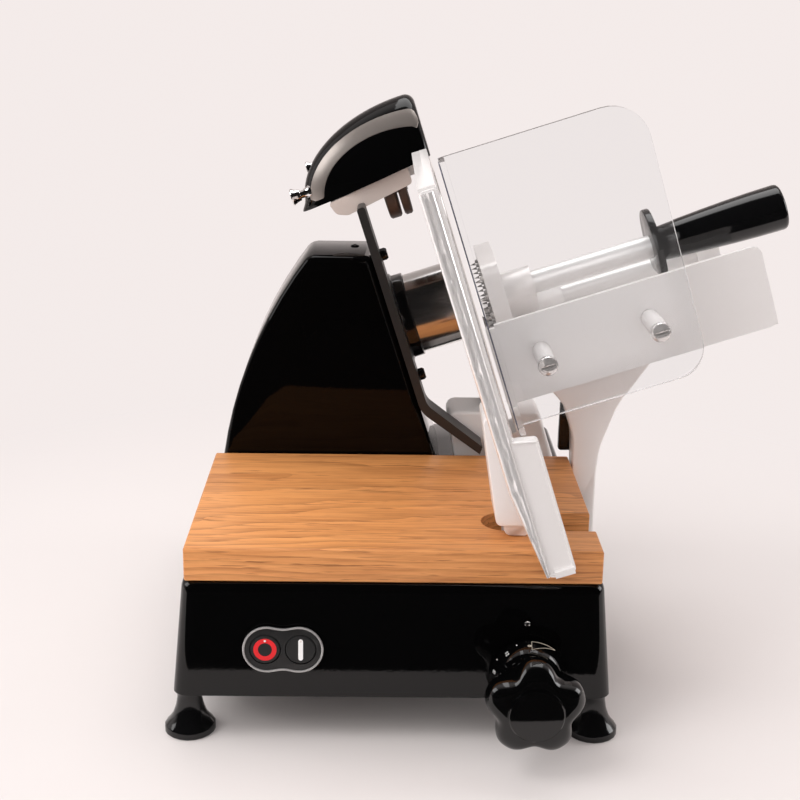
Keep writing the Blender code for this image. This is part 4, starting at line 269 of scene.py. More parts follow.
def make_gloss_group() -> None:
    """Polished skin: broad smudges in the roughness and a slight peel in the height."""
    bench, given, made = new_group(Effect.GLOSS, {"Place": ("Vector", None), "Roughness": ("Float", 0.1),
                                                  "Smudge": ("Float", 0.05)},
                                   {"Roughness": "Float", "Height": "Float"})
    place = given.outputs["Place"]
    broad = bench.noise(place, scale=21, detail=4, rough=0.6, distortion=0.4)
    fine = bench.noise(place, scale=240, rough=0.6)
    share = bench.math("MULTIPLY_ADD", bench.span(fine, low=0.35, high=0.75), FINE_SMUDGE,
                       bench.span(broad, low=0.42, high=0.72))
    rough = bench.math("MULTIPLY_ADD", share, given.outputs["Smudge"], given.outputs["Roughness"])
    bench.feed(made, {"Roughness": rough, "Height": bench.noise(place, scale=420, detail=1, rough=0.4)})


def make_lines_group() -> None:
    """Fine parallel lines. The place comes in stretched across the way the metal was brushed."""
    bench, given, made = new_group(Effect.LINES, {"Place": ("Vector", None), "Roughness": ("Float", 0.3),
                                                  "Spread": ("Float", 0.1)},
                                   {"Roughness": "Float", "Height": "Float"})
    place = given.outputs["Place"]
    lines = bench.noise(place, scale=1.0, detail=5, rough=0.7)
    broad = bench.noise(place, scale=0.12)
    share = bench.math("MULTIPLY_ADD", bench.math("SUBTRACT", broad, 0.5), BROAD_LINES, lines)
    rough = bench.math("MULTIPLY_ADD", bench.math("SUBTRACT", share, 0.5), given.outputs["Spread"],
                       given.outputs["Roughness"])
    bench.feed(made, {"Roughness": rough, "Height": lines})


def make_cast_group() -> None:
    """Cast or moulded skin: a fine grain over a slow unevenness."""
    bench, given, made = new_group(Effect.CAST, {"Place": ("Vector", None), "Roughness": ("Float", 0.4),
                                                 "Spread": ("Float", 0.1), "Grain": ("Float", 900.0)},
                                   {"Roughness": "Float", "Height": "Float"})
    place = given.outputs["Place"]
    grain = bench.add("ShaderNodeTexNoise", {"Vector": place, "Scale": given.outputs["Grain"],
                                             "Detail": 3.0, "Roughness": 0.6}).outputs["Fac"]
    slow = bench.noise(place, scale=30)
    rough = bench.math("MULTIPLY_ADD", bench.math("SUBTRACT", slow, 0.5), given.outputs["Spread"],
                       given.outputs["Roughness"])
    bench.feed(made, {"Roughness": rough, "Height": bench.math("MULTIPLY_ADD", slow, CAST_WAVES, grain)})


def make_oak_group() -> None:
    """Flat-sawn oak with its grain along X: growth rings, fibres, pores and slow colour change.

    The rings are circles round an axis under the board, bent by a slow noise.
    """
    bench, given, made = new_group(Effect.OAK, {"Place": ("Vector", None)},
                                   {"Colour": "Color", "Roughness": "Float", "Height": "Float"})
    place = given.outputs["Place"]
    bent = bench.add("ShaderNodeTexNoise", {"Vector": bench.stretch(place, (5, 16, 16)), "Scale": 1.0,
                                            "Detail": 2.0, "Roughness": 0.5})
    shift = bench.add("ShaderNodeVectorMath", {0: bent.outputs["Color"], 1: (0.5, 0.5, 0.5)},
                      operation="SUBTRACT").outputs[0]
    wander = bench.add("ShaderNodeVectorMath", {0: shift, "Scale": RING_WANDER},
                       operation="SCALE").outputs[0]
    moved = bench.add("ShaderNodeVectorMath", {0: place, 1: wander}, operation="ADD").outputs[0]
    axes = bench.add("ShaderNodeSeparateXYZ", {0: moved}).outputs
    across = bench.math("SUBTRACT", axes["Y"], HEART_Y)
    depth = bench.math("SUBTRACT", axes["Z"], HEART_Z)
    radius = bench.math("SQRT", bench.math("ADD", bench.math("MULTIPLY", across, across),
                                           bench.math("MULTIPLY", depth, depth)))
    ring = bench.math("FRACT", bench.math("MULTIPLY", radius, RINGS_TO_THE_METRE))
    late = bench.math("POWER", ring, LATE_WOOD)
    fibre = bench.noise(bench.stretch(place, (16, 380, 380)), scale=1.0, detail=5, rough=0.7)
    pores = bench.span(bench.noise(bench.stretch(place, (42, 820, 820)), scale=1.0), low=0.56, high=0.66)
    pore_mask = bench.math("MULTIPLY", pores, bench.span(ring, low=0.05, high=0.5, start=1.0, end=0.25))
    slow = bench.noise(bench.stretch(place, (4, 22, 22)), scale=1.0)
    base = bench.mix(late, (*OAK_EARLY, 1), (*OAK_LATE, 1))
    toned = bench.mix(bench.span(slow, low=0.35, high=0.65, end=0.85), base, (*OAK_TONE, 1))
    fibred = bench.mix(bench.span(fibre, low=0.34, high=0.66, end=0.6), toned, (*OAK_FIBRE, 1))
    dark = bench.mix(bench.math("MULTIPLY", pore_mask, PORE_COLOUR_SHARE), fibred, (*OAK_PORE, 1))
    rough = bench.math("MULTIPLY_ADD", pore_mask, PORE_ROUGHNESS, OAK_ROUGHNESS)
    height = bench.math("SUBTRACT", bench.math("MULTIPLY", fibre, FIBRE_HEIGHT), pore_mask)
    bench.feed(made, {"Colour": dark, "Roughness": rough, "Height": height})


def make_grit_group() -> None:
    """Abrasive: packed grains of light and dark."""
    bench, given, made = new_group(Effect.GRIT, {"Place": ("Vector", None)},
                                   {"Shade": "Float", "Height": "Float"})
    cells = bench.add("ShaderNodeTexVoronoi", {"Vector": given.outputs["Place"], "Scale": 2600.0})
    shade = bench.noise(given.outputs["Place"], scale=1800, rough=0.7)
    bench.feed(made, {"Height": cells.outputs["Distance"], "Shade": shade})


def make_effects() -> None:
    """Build each shared effect once."""
    make_gloss_group()
    make_lines_group()
    make_cast_group()
    make_oak_group()
    make_grit_group()


# Finishes

@dataclass(frozen=True)
class Finish:
    """A finish whose shader keeps its constants on its own sockets."""

    name: str
    slot: str
    colour: Colour = (0.8, 0.8, 0.8)
    roughness: float = 0.4
    metallic: float = 0.0
    ior: float = 1.5
    bump: float = 0.0

    def material(self) -> bpy.types.Material:
        """Give the finish's material, made on first use.

        Returns:
            The material.
        """
        found = bpy.data.materials.get(self.name)
        if found is not None:
            return found
        made = bpy.data.materials.new(self.name)
        made.use_nodes = True
        bench = Bench(made.node_tree)
        shader = made.node_tree.nodes["Principled BSDF"]
        shader.inputs["Base Color"].default_value = (*self.colour, 1.0)
        shader.inputs["Roughness"].default_value = self.roughness
        shader.inputs["Metallic"].default_value = self.metallic
        shader.inputs["IOR"].default_value = self.ior
        place = bench.add("ShaderNodeTexCoord").outputs["Object"]
        self.pattern(bench, shader, place)
        made.diffuse_color = (*self.colour, 1.0)
        return made

    def pattern(self, bench: Bench, shader: bpy.types.Node, place: bpy.types.NodeSocket) -> None:
        """Join what changes over the surface to the shader. The plain finish has nothing.

        Args:
            bench: The material's bench.
            shader: The material's shader.
            place: The place on the piece.
        """

    def wear(self, bench: Bench, shader: bpy.types.Node, effect: Effect,
             sockets: dict[str | int, object]) -> bpy.types.Node:
        """Place a shared effect that varies the roughness, where it gives one, and raises the surface.

        Args:
            bench: The material's bench.
            shader: The material's shader.
            effect: The effect.
            sockets: The effect's own values.

        Returns:
            The effect's node.
        """
        node = bench.add("ShaderNodeGroup", sockets, node_tree=bpy.data.node_groups[effect.value])
        if "Roughness" in node.outputs:
            bench.feed(shader, {"Roughness": node.outputs["Roughness"]})
        bump = bench.add("ShaderNodeBump", {"Height": node.outputs["Height"], "Distance": self.bump})
        bench.feed(shader, {"Normal": bump.outputs["Normal"]})
        return node


@dataclass(frozen=True)
class Gloss(Finish):
    """Lacquer or polished plastic, with smudges and a slight peel."""

    smudge: float = 0.05

    def pattern(self, bench: Bench, shader: bpy.types.Node, place: bpy.types.NodeSocket) -> None:
        """Vary the roughness and the normal by the polished skin's group."""
        self.wear(bench, shader, Effect.GLOSS, {"Place": place, "Roughness": self.roughness,
                                                "Smudge": self.smudge})


@dataclass(frozen=True)
class Brushed(Finish):
    """Metal with fine lines along one way."""

    lines: Triple = (20.0, 1600.0, 1600.0)
    turn: Triple = (0.0, 0.0, 0.0)
    spread: float = 0.12

    def pattern(self, bench: Bench, shader: bpy.types.Node, place: bpy.types.NodeSocket) -> None:
        """Vary the roughness and the normal by lines along the axis that is squeezed least.

        Args:
            bench: The material's bench.
            shader: The material's shader.
            place: The place on the piece.
        """
        drawn = bench.stretch(bench.stretch(place, (1, 1, 1), self.turn), self.lines)
        self.wear(bench, shader, Effect.LINES, {"Place": drawn, "Roughness": self.roughness,
                                                "Spread": self.spread})


@dataclass(frozen=True)
class Cast(Finish):
    """Paint or bare metal on a casting, or moulded plastic, with a fine grain."""

    spread: float = 0.1
    grain: float = 900.0

    def pattern(self, bench: Bench, shader: bpy.types.Node, place: bpy.types.NodeSocket) -> None:
        """Vary the roughness and the normal by the cast skin's group."""
        self.wear(bench, shader, Effect.CAST, {"Place": place, "Roughness": self.roughness,
                                               "Spread": self.spread, "Grain": self.grain})


@dataclass(frozen=True)
class Oak(Finish):
    """Oiled oak with its grain along the board."""

    def pattern(self, bench: Bench, shader: bpy.types.Node, place: bpy.types.NodeSocket) -> None:
        """Colour, gloss and pores come from the oak's group."""
        node = self.wear(bench, shader, Effect.OAK, {"Place": place})
        bench.feed(shader, {"Base Color": node.outputs["Colour"]})


@dataclass(frozen=True)
class Grit(Finish):
    """Bonded abrasive."""

    light_times: float = 3.2

    def pattern(self, bench: Bench, shader: bpy.types.Node, place: bpy.types.NodeSocket) -> None:
        """Mottle the colour and raise the grains.

        Args:
            bench: The material's bench.
            shader: The material's shader.
            place: The place on the piece.
        """
        node = self.wear(bench, shader, Effect.GRIT, {"Place": place})
        light = tuple(min(1.0, self.light_times * part) for part in self.colour)
        share = bench.span(node.outputs["Shade"], low=0.4, high=0.7)
        colour = bench.mix(share, (*self.colour, 1), (*light, 1))
        bench.feed(shader, {"Base Color": colour})


@dataclass(frozen=True)
class Clear(Cast):
    """Clear acrylic."""

    def pattern(self, bench: Bench, shader: bpy.types.Node, place: bpy.types.NodeSocket) -> None:
        """Let light through, with faint wipe marks in the roughness."""
        shader.inputs["Transmission Weight"].default_value = 1.0
        super().pattern(bench, shader, place)


BLADE_LEAN = radians(18)
LACQUER = Gloss("lacquer_black", "black_lacquer", (0.0012, 0.0012, 0.0013), 0.035, ior=1.40,
                bump=0.00001, smudge=0.02)
TOWER_LACQUER = Gloss("lacquer_tower", "black_lacquer", (0.0013, 0.0012, 0.0012), 0.035, ior=1.24,
                      bump=0.00001, smudge=0.02)
KNOB_PLASTIC = Gloss("knob_black", "black_plastic", (0.0014, 0.0014, 0.0015), 0.045, bump=0.00001,
                     smudge=0.03)
SATIN_BLACK = Cast("satin_black", "black_satin", (0.020, 0.0185, 0.018), 0.38, bump=0.00003,
                   grain=1500.0)
PLASTIC = Gloss("plastic_black", "black_plastic", (0.003, 0.003, 0.0033), 0.09, bump=0.00001)
RUBBER = Cast("rubber_black", "rubber", (0.014, 0.014, 0.014), 0.75, bump=0.00005, grain=1200.0)
OAK = Oak("oiled_oak", "oak", (0.48, 0.24, 0.09), 0.45, bump=0.00012)
SCREW_SATIN = Gloss("screw_satin", "chrome", (0.72, 0.70, 0.69), 0.16, 0.65, bump=0.000004)
RIM_METAL = Gloss("switch_rim_metal", "chrome", (0.50, 0.49, 0.485), 0.2, 0.45, bump=0.000003)
POLISHED = Brushed("polished_fold", "aluminium", (0.92, 0.905, 0.90), 0.14, 0.50, bump=0.0005,
                   lines=(70.0, 70.0, 16.0), turn=(0.0, -BLADE_LEAN, 0.0), spread=0.06)
# Painted shade and reflection: dark bluish lines on the clear guard's flange, standing in for how its
# acrylic edges bend and reflect the light.
EDGE_SHADE_PAINT = Cast("painted_edge_shade", "clear_acrylic", (0.15, 0.15, 0.21), 0.25, bump=0.000003)
ARM_SATIN = Cast("arm_satin", "champagne", (0.66, 0.575, 0.53), 0.30, 0.15, bump=0.00001,
                 grain=1600.0)
STEEL = Brushed("ground_steel", "steel", (0.62, 0.61, 0.60), 0.16, 1.0, bump=0.000004, spread=0.10)
CHROME = Gloss("bright_chrome", "chrome", (0.83, 0.82, 0.82), 0.05, 1.0, bump=0.000004)
TRAY_SATIN = Brushed("satin_tray", "aluminium", (0.90, 0.875, 0.865), 0.34, 0.16, bump=0.000008,
                     lines=(14.0, 1300.0, 1300.0), spread=0.16)
PLATE_SATIN = Brushed("satin_plate", "aluminium", (0.91, 0.885, 0.875), 0.24, 0.20, bump=0.00006,
                      lines=(420.0, 420.0, 14.0), turn=(0.0, -BLADE_LEAN, 0.0))
TUBE_SATIN = Brushed("satin_tube", "aluminium", (0.84, 0.82, 0.81), 0.36, 0.35, bump=0.000005,
                     lines=(20.0, 1500.0, 1500.0), turn=(0.0, BLADE_LEAN, 0.0), spread=0.14)
PALE_PAINT = Cast("pale_paint", "silver_paint", (0.87, 0.835, 0.82), 0.36, 0.12, bump=0.00003,
                  grain=1400.0)
BARE_CASTING = Cast("bare_casting", "aluminium", (0.62, 0.61, 0.61), 0.42, 1.0, bump=0.0001,
                    grain=500.0)
CHAMPAGNE = Gloss("champagne_metal", "champagne", (0.36, 0.32, 0.295), 0.30, 0.75, bump=0.000005,
                  smudge=0.10)
BRASS = Brushed("turned_brass", "brass", (0.72, 0.52, 0.22), 0.28, 1.0, bump=0.000005)
ACRYLIC = Clear("clear_sheet", "clear_acrylic", (0.97, 0.98, 0.985), 0.015, ior=1.49,
                bump=0.000001, spread=0.03, grain=300.0)
STONE = Grit("grindstone", "grindstone", (0.045, 0.03, 0.024), 0.85, bump=0.0002)
MEMBRANE = Cast("switch_skin", "black_plastic", (0.0165, 0.0165, 0.0168), 0.42, bump=0.00001,
                grain=2200.0)
PALE_LENS = Gloss("pilot_lens", "clear_acrylic", (0.80, 0.74, 0.72), 0.12, bump=0.000005)
RED_PRINT = Cast("red_print", "black_plastic", (0.74, 0.012, 0.018), 0.35, bump=0.00001)
WHITE_PRINT = Cast("white_print", "black_plastic", (0.86, 0.86, 0.86), 0.35, bump=0.00001)
GOLD_PRINT = Cast("gold_print", "black_plastic", (0.70, 0.63, 0.52), 0.35, bump=0.00001)


# Slanted frame

def spread_out(*parts: object) -> list[np.ndarray]:
    """Numbers and arrays as floats of one shape, with one more axis of length 1."""
    return [part[..., None] for part in np.broadcast_arrays(*(np.asarray(p, float) for p in parts))]


@dataclass(frozen=True)
class Slant:
    """The slanted frame of the blade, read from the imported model."""

    origin: np.ndarray
    across: np.ndarray
    up: np.ndarray

    @classmethod
    def read(cls, joints: Sequence[dict]) -> Slant:
        """Work the frame out from the board's box and the blade's joint.

        Args:
            joints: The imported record's joints.

        Returns:
            The frame, whose origin is the middle of the board's upper front edge.
        """
        low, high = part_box("cutting_board")
        axis = next(np.array(joint["axis"], float) for joint in joints if joint["name"] == "knife_spin")
        return cls(np.array(((low.x + high.x) / 2, low.y, high.z)), axis, np.cross(axis, AWAY))

    def at(self, across: object, away: object, up: object) -> np.ndarray:
        """Points of the slanted frame: origin plus n, Y and m along their axes.

        Args:
            across: n of each point.
            away: Y of each point.
            up: m of each point.

        Returns:
            The points, with one more axis of length 3.
        """
        n, y, m = spread_out(across, away, up)
        return self.origin + n * self.across + y * AWAY + m * self.up


# Meshes

def skin(name: str, points: np.ndarray, round_rows: bool = False, round_columns: bool = False,
         cap_rows: bool = False) -> bpy.types.Object:
    """A surface whose points lie on a grid, with a quad between each four neighbours.

    Args:
        name: The piece's name.
        points: The grid, rows by columns by 3.
        round_rows: Whether the last row joins the first.
        round_columns: Whether the last column joins the first.
        cap_rows: Whether the first and the last row are closed with a face.

    Returns:
        The new object, with doubles merged and faces turned outwards.
    """
    rows, columns = points.shape[:2]
    index = np.arange(rows * columns).reshape(rows, columns)
    if round_rows:
        index = np.concatenate([index, index[:1]], axis=0)
    if round_columns:
        index = np.concatenate([index, index[:, :1]], axis=1)
    quads = np.stack([index[:-1, :-1], index[:-1, 1:], index[1:, 1:], index[1:, :-1]], axis=-1)
    faces = quads.reshape(-1, 4).tolist()
    if cap_rows:
        faces += [index[0, :columns][::-1].tolist(), index[-1, :columns].tolist()]
    mesh = bpy.data.meshes.new(name)
    mesh.from_pydata(points.reshape(-1, 3).tolist(), [], faces)
    mend(mesh)
    return show(name, mesh)


def mend(mesh: bpy.types.Mesh, flat: float = 0.0) -> None:
    """Merge doubles, join flat triangles into one face where asked, and turn faces outwards.

    Args:
        mesh: The mesh that is changed.
        flat: Largest angle at which two faces count as one flat face, in radians, or 0 to keep them.
    """
    work = bmesh.new()
    work.from_mesh(mesh)
    bmesh.ops.remove_doubles(work, verts=work.verts, dist=DOUBLES)
    if flat > 0:
        bmesh.ops.dissolve_limit(work, angle_limit=flat, verts=work.verts, edges=work.edges)
    bmesh.ops.recalc_face_normals(work, faces=work.faces)
    work.to_mesh(mesh)
    work.free()


def show(name: str, mesh: bpy.types.Mesh) -> bpy.types.Object:
    """Put a mesh into the scene, shaded smooth but at its sharp edges.

    Args:
        name: The piece's name.
        mesh: Its mesh.

    Returns:
        The new object.
    """
    mesh.shade_smooth()
    mesh.set_sharp_from_angle(angle=SHARP_ANGLE)
    made = bpy.data.objects.new(name, mesh)
    bpy.context.scene.collection.objects.link(made)
    return made


def soften(piece: bpy.types.Object, width: float) -> None:
    """Round a piece's edges.

    Args:
        piece: The piece.
        width: The rounding's width.
    """
    bevel = piece.modifiers.new("edges", "BEVEL")
    bevel.width = width
    bevel.segments = EDGE_STEPS
    bevel.limit_method = "ANGLE"
    bevel.angle_limit = EDGE_ANGLE
    bevel.harden_normals = True


@dataclass(frozen=True)
class Seat:
    """A flat place on the slicer, with its own axes right, up and out of it."""

    origin: np.ndarray
    right: np.ndarray
    up: np.ndarray

    def at(self, aside: object, above: object, out: object) -> np.ndarray:
        """Points of the seat: origin plus aside, above and out along its axes.

        Args:
            aside: Place along the first axis.
            above: Place along the second axis.
            out: Place along their cross product.

        Returns:
            The points, with one more axis of length 3.
        """
        x, y, z = spread_out(aside, above, out)
        return self.origin + x * self.right + y * self.up + z * np.cross(self.right, self.up)

    def moved(self, aside: float, above: float) -> Seat:
        """The seat at another spot of its own plane."""
        return Seat(self.at(aside, above, 0.0), self.right, self.up)


def turned_skin(name: str, profile: Sequence[tuple[float, float]], seat: Seat,
                steps: int) -> bpy.types.Object:
    """A turned piece: each profile point (radius, out) goes round a circle on the seat.

    Args:
        name: The piece's name.
        profile: The radius and the height over the seat of each point.
        seat: The place that it is turned on.
        steps: Points round the axis.

    Returns:
        The new object.
    """
    radius, out = np.array(profile, float).T
    angle = np.linspace(0, 2 * pi, steps, endpoint=False)
    points = seat.at(radius[:, None] * np.cos(angle), radius[:, None] * np.sin(angle), out[:, None])
    return skin(name, points, round_columns=True)


def slab(name: str, outer: np.ndarray, inner: np.ndarray) -> bpy.types.Object:
    """A closed shell between two grids of the same shape.

    The columns run over the outer grid and back over the inner one. A row halfway between them closes
    each end.

    Args:
        name: The piece's name.
        outer: The outer grid.
        inner: The inner grid.

    Returns:
        The new object.
    """
    ring = np.concatenate([outer, inner[:, ::-1]], axis=1)
    middle = (outer + inner) / 2
    ends = np.concatenate([middle, middle[:, ::-1]], axis=1)
    return skin(name, np.concatenate([ends[:1], ring, ends[-1:]]), round_columns=True)


def pad(name: str, outline: np.ndarray, seat: Seat, low: float, high: float) -> bpy.types.Object:
    """A thin solid on a seat: rows run from the middle to the outline below and back above.

    Args:
        name: The piece's name.
        outline: Points round the shape, as aside and above.
        seat: The place that it lies on.
        low: Its underside over the seat.
        high: Its top over the seat.

    Returns:
        The new object.
    """
    share = np.array((0.0, 1.0, 1.0, 0.0))[:, None]
    out = np.array((low, low, high, high))[:, None]
    middle = outline.mean(axis=0)
    x = middle[0] + share * (outline[:, 0] - middle[0])
    y = middle[1] + share * (outline[:, 1] - middle[1])
    return skin(name, seat.at(x, y, out), round_columns=True)


def swept(name: str, path: np.ndarray, out: np.ndarray, section: np.ndarray,
          closed: bool = False) -> bpy.types.Object:
    """A section carried along a path, square to it.

    Args:
        name: The piece's name.
        path: The path's points.
        out: The way that the section's second axis faces, as one or a way for each point.
        section: The section's points, as aside and out.
        closed: Whether the path's end joins its start.

    Returns:
        The new object.
    """
    if closed:
        ahead = np.roll(path, -1, axis=0) - np.roll(path, 1, axis=0)
    else:
        ahead = np.gradient(path, axis=0)
    ahead = ahead / np.linalg.norm(ahead, axis=1, keepdims=True)
    aside = np.cross(ahead, out)
    aside = aside / np.linalg.norm(aside, axis=1, keepdims=True)
    above = np.cross(aside, ahead)
    points = path[:, None] + aside[:, None] * section[None, :, :1] + above[:, None] * section[None, :, 1:]
    return skin(name, points, round_rows=closed, round_columns=True, cap_rows=not closed)


def circle(radius: float, steps: int) -> np.ndarray:
    """Points round a circle."""
    angle = np.linspace(0, 2 * pi, steps, endpoint=False)
    return radius * np.stack([np.cos(angle), np.sin(angle)], axis=1)


def lobes(radius: float, offset: float, waist: float, steps: int) -> np.ndarray:
    """Two round lobes with a shallow waist: half circles, joined by a cosine dip on each side.

    Args:
        radius: Each lobe's radius.
        offset: How far its middle stands from the shape's middle.
        waist: How deep the dip is.
        steps: Points on each stretch.

    Returns:
        Points round the shape, as aside and above.
    """
    angle = np.linspace(-pi / 2, pi / 2, steps)
    right = np.stack([offset + radius * np.cos(angle), radius * np.sin(angle)], axis=1)
    across = np.linspace(offset, -offset, steps)[1:-1]
    dip = radius - waist * (1 + np.cos(pi * across / offset)) / 2
    top = np.stack([across, dip], axis=1)
    return np.concatenate([right, top, -right, -top])


def word(name: str, text: str, size: float,
         place: Callable[[np.ndarray], np.ndarray]) -> bpy.types.Object:
    """Raised figures laid on a surface.

    Args:
        name: The piece's name.
        text: The figures.
        size: Their height.
        place: Gives the points for an array of (aside, above, out).

    Returns:
        The new object.
    """
    curve = bpy.data.curves.new(name, "FONT")
    curve.body = text
    curve.size = size * FONT_PER_FIGURE
    curve.align_x = "CENTER"
    curve.align_y = "CENTER"
    curve.extrude = FIGURE_HALF
    curve.resolution_u = FIGURE_STEPS
    flat = bpy.data.objects.new(name, curve)
    bpy.context.scene.collection.objects.link(flat)
    mesh = bpy.data.meshes.new_from_object(flat.evaluated_get(bpy.context.evaluated_depsgraph_get()))
    bpy.data.objects.remove(flat)
    corners = np.empty(len(mesh.vertices) * 3)
    mesh.vertices.foreach_get("co", corners)
    mesh.vertices.foreach_set("co", place(corners.reshape(-1, 3)).ravel())
    mend(mesh)
    return show(name, mesh)


# Sub-assemblies

@dataclass(frozen=True)
class Coat:
    """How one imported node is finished."""

    node: str
    finish: Finish
    edge: float = 0.0


@dataclass
class SubAssembly:
    """Pieces that share a place on the slicer."""

    slant: Slant
    nodes: dict[str, bpy.types.Object]
    bodies: dict[str, str]
    pivots: dict[str, np.ndarray]
    coats: tuple[Coat, ...] = ()

    def build(self) -> None:
        """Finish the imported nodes, then add the fine pieces."""
        for coat in self.coats:
            self.refine(coat)
        self.details()

    def details(self) -> None:
        """Add the fine pieces. The plain sub-assembly has none."""

    def refine(self, coat: Coat) -> bpy.types.Object:
        """Stand a smooth copy, with softened edges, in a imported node's place.

        Args:
            coat: The node, its finish and its edges' rounding.

        Returns:
            The copy.
        """
        mesh = self.nodes[coat.node].data.copy()
        mesh.materials.clear()
        mend(mesh, FLAT_ANGLE)
        piece = show(f"{coat.node}.fine", mesh)
        if coat.edge > 0:
            soften(piece, coat.edge)
        return self.stand_for(piece, coat.node, coat.finish)

    def stand_for(self, piece: bpy.types.Object, node: str, finish: Finish) -> bpy.types.Object:
        """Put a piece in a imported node's place.

        Args:
            piece: The piece.
            node: The node that it replaces.
            finish: Its finish.

        Returns:
            The piece.
        """
        self.dress(piece, finish, self.bodies[node])
        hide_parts(node)
        return piece

    def dress(self, piece: bpy.types.Object, finish: Finish, body: str) -> bpy.types.Object:
        """Give a piece its finish and let it ride on its body.

        Args:
            piece: The piece.
            finish: Its finish.
            body: The body that it moves with.

        Returns:
            The piece.
        """
        piece.data.materials.clear()
        piece.data.materials.append(finish.material())
        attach(piece, body)
        log.info("%s: %s on %s, %d faces", piece.name, finish.name, body, len(piece.data.polygons))
        return piece


@dataclass
class BaseCasting(SubAssembly):
    """The lacquered base with its feet, bottom sheet and gland."""

    coats: tuple[Coat, ...] = (
        Coat("base_shell", LACQUER, 0.8 * MM), Coat("bottom_sheet", SATIN_BLACK, 0.3 * MM),
        Coat("foot_front_left", PLASTIC), Coat("foot_front_right", PLASTIC),
        Coat("foot_rear_left", PLASTIC), Coat("foot_rear_right", PLASTIC),
        Coat("cord_gland", PLASTIC), Coat("carriage_rod", STEEL), Coat("gauge_rod", STEEL))


@dataclass
class Board(SubAssembly):
    """The oak cutting board."""

    coats: tuple[Coat, ...] = (Coat("cutting_board", OAK, 0.5 * MM),)


@dataclass
class Switch(SubAssembly):
    """The two push buttons under their dark skin, with the bright rim and the printed signs."""

    coats: tuple[Coat, ...] = (
        Coat("switch_bezel", MEMBRANE, 0.4 * MM), Coat("stop_button", MEMBRANE, 0.1 * MM),
        Coat("start_button", MEMBRANE, 0.1 * MM))
    button_length: float = 7.0 * MM
    half_height: float = 15.2 * MM
    lobe_offset: float = 10.2 * MM
    waist: float = 1.3 * MM
    rim_inset: float = 0.55 * MM
    rim_sunk: float = 0.2 * MM
    rim_width: float = 0.7 * MM
    ring: Profile = in_mm((4.4, -0.1), (7.3, -0.1), (7.3, 0.1), (4.4, 0.1), (4.4, -0.1))
    bar_half: float = 7.1 * MM
    bar_radius: float = 1.5 * MM
    bar_height: float = 0.1 * MM
    lamp_above: float = 5.8 * MM
    lens: Profile = in_mm((0, 0), (0.75, 0), (0.75, 0.16), (0.45, 0.30), (0, 0.34))

    def details(self) -> None:
        """Add the rim, the O ring, the I bar and their pilot lenses."""
        stop, start = self.face("stop_button"), self.face("start_button")
        middle = Seat((stop.origin + start.origin) / 2, stop.right, stop.up)
        outline = lobes(self.half_height - self.rim_inset, self.lobe_offset, self.waist, 22)
        path = middle.at(outline[:, 0], outline[:, 1], -self.rim_sunk)
        out = np.cross(middle.right, middle.up)
        rim = swept("switch_rim", path, out, circle(self.rim_width, 10), closed=True)
        self.dress(rim, RIM_METAL, self.bodies["switch_bezel"])
        self.dress(turned_skin("stop_ring", self.ring, stop, 64), RED_PRINT, self.bodies["stop_button"])
        outline = lobes(self.bar_radius, self.bar_half - self.bar_radius, 0.0, 10)[:, ::-1]
        bar = pad("start_bar", outline, start, -self.bar_height, self.bar_height)
        self.dress(bar, WHITE_PRINT, self.bodies["start_button"])
        for name, seat in (("stop", stop), ("start", start)):
            lens = turned_skin(f"{name}_lens", self.lens, seat.moved(0.0, self.lamp_above), 20)
            self.dress(lens, PALE_LENS, self.bodies[f"{name}_button"])

    def face(self, node: str) -> Seat:
        """The front of a button, from its box and the way it is pushed.

        Args:
            node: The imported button.

        Returns:
            A seat at the middle of its face, facing the user.
        """
        low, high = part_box(node)
        inward = self.pivots["stop_push.axis"]
        middle = (np.array(low) + np.array(high)) / 2
        return Seat(middle - inward * self.button_length / 2, RIGHT, np.cross(-inward, RIGHT))


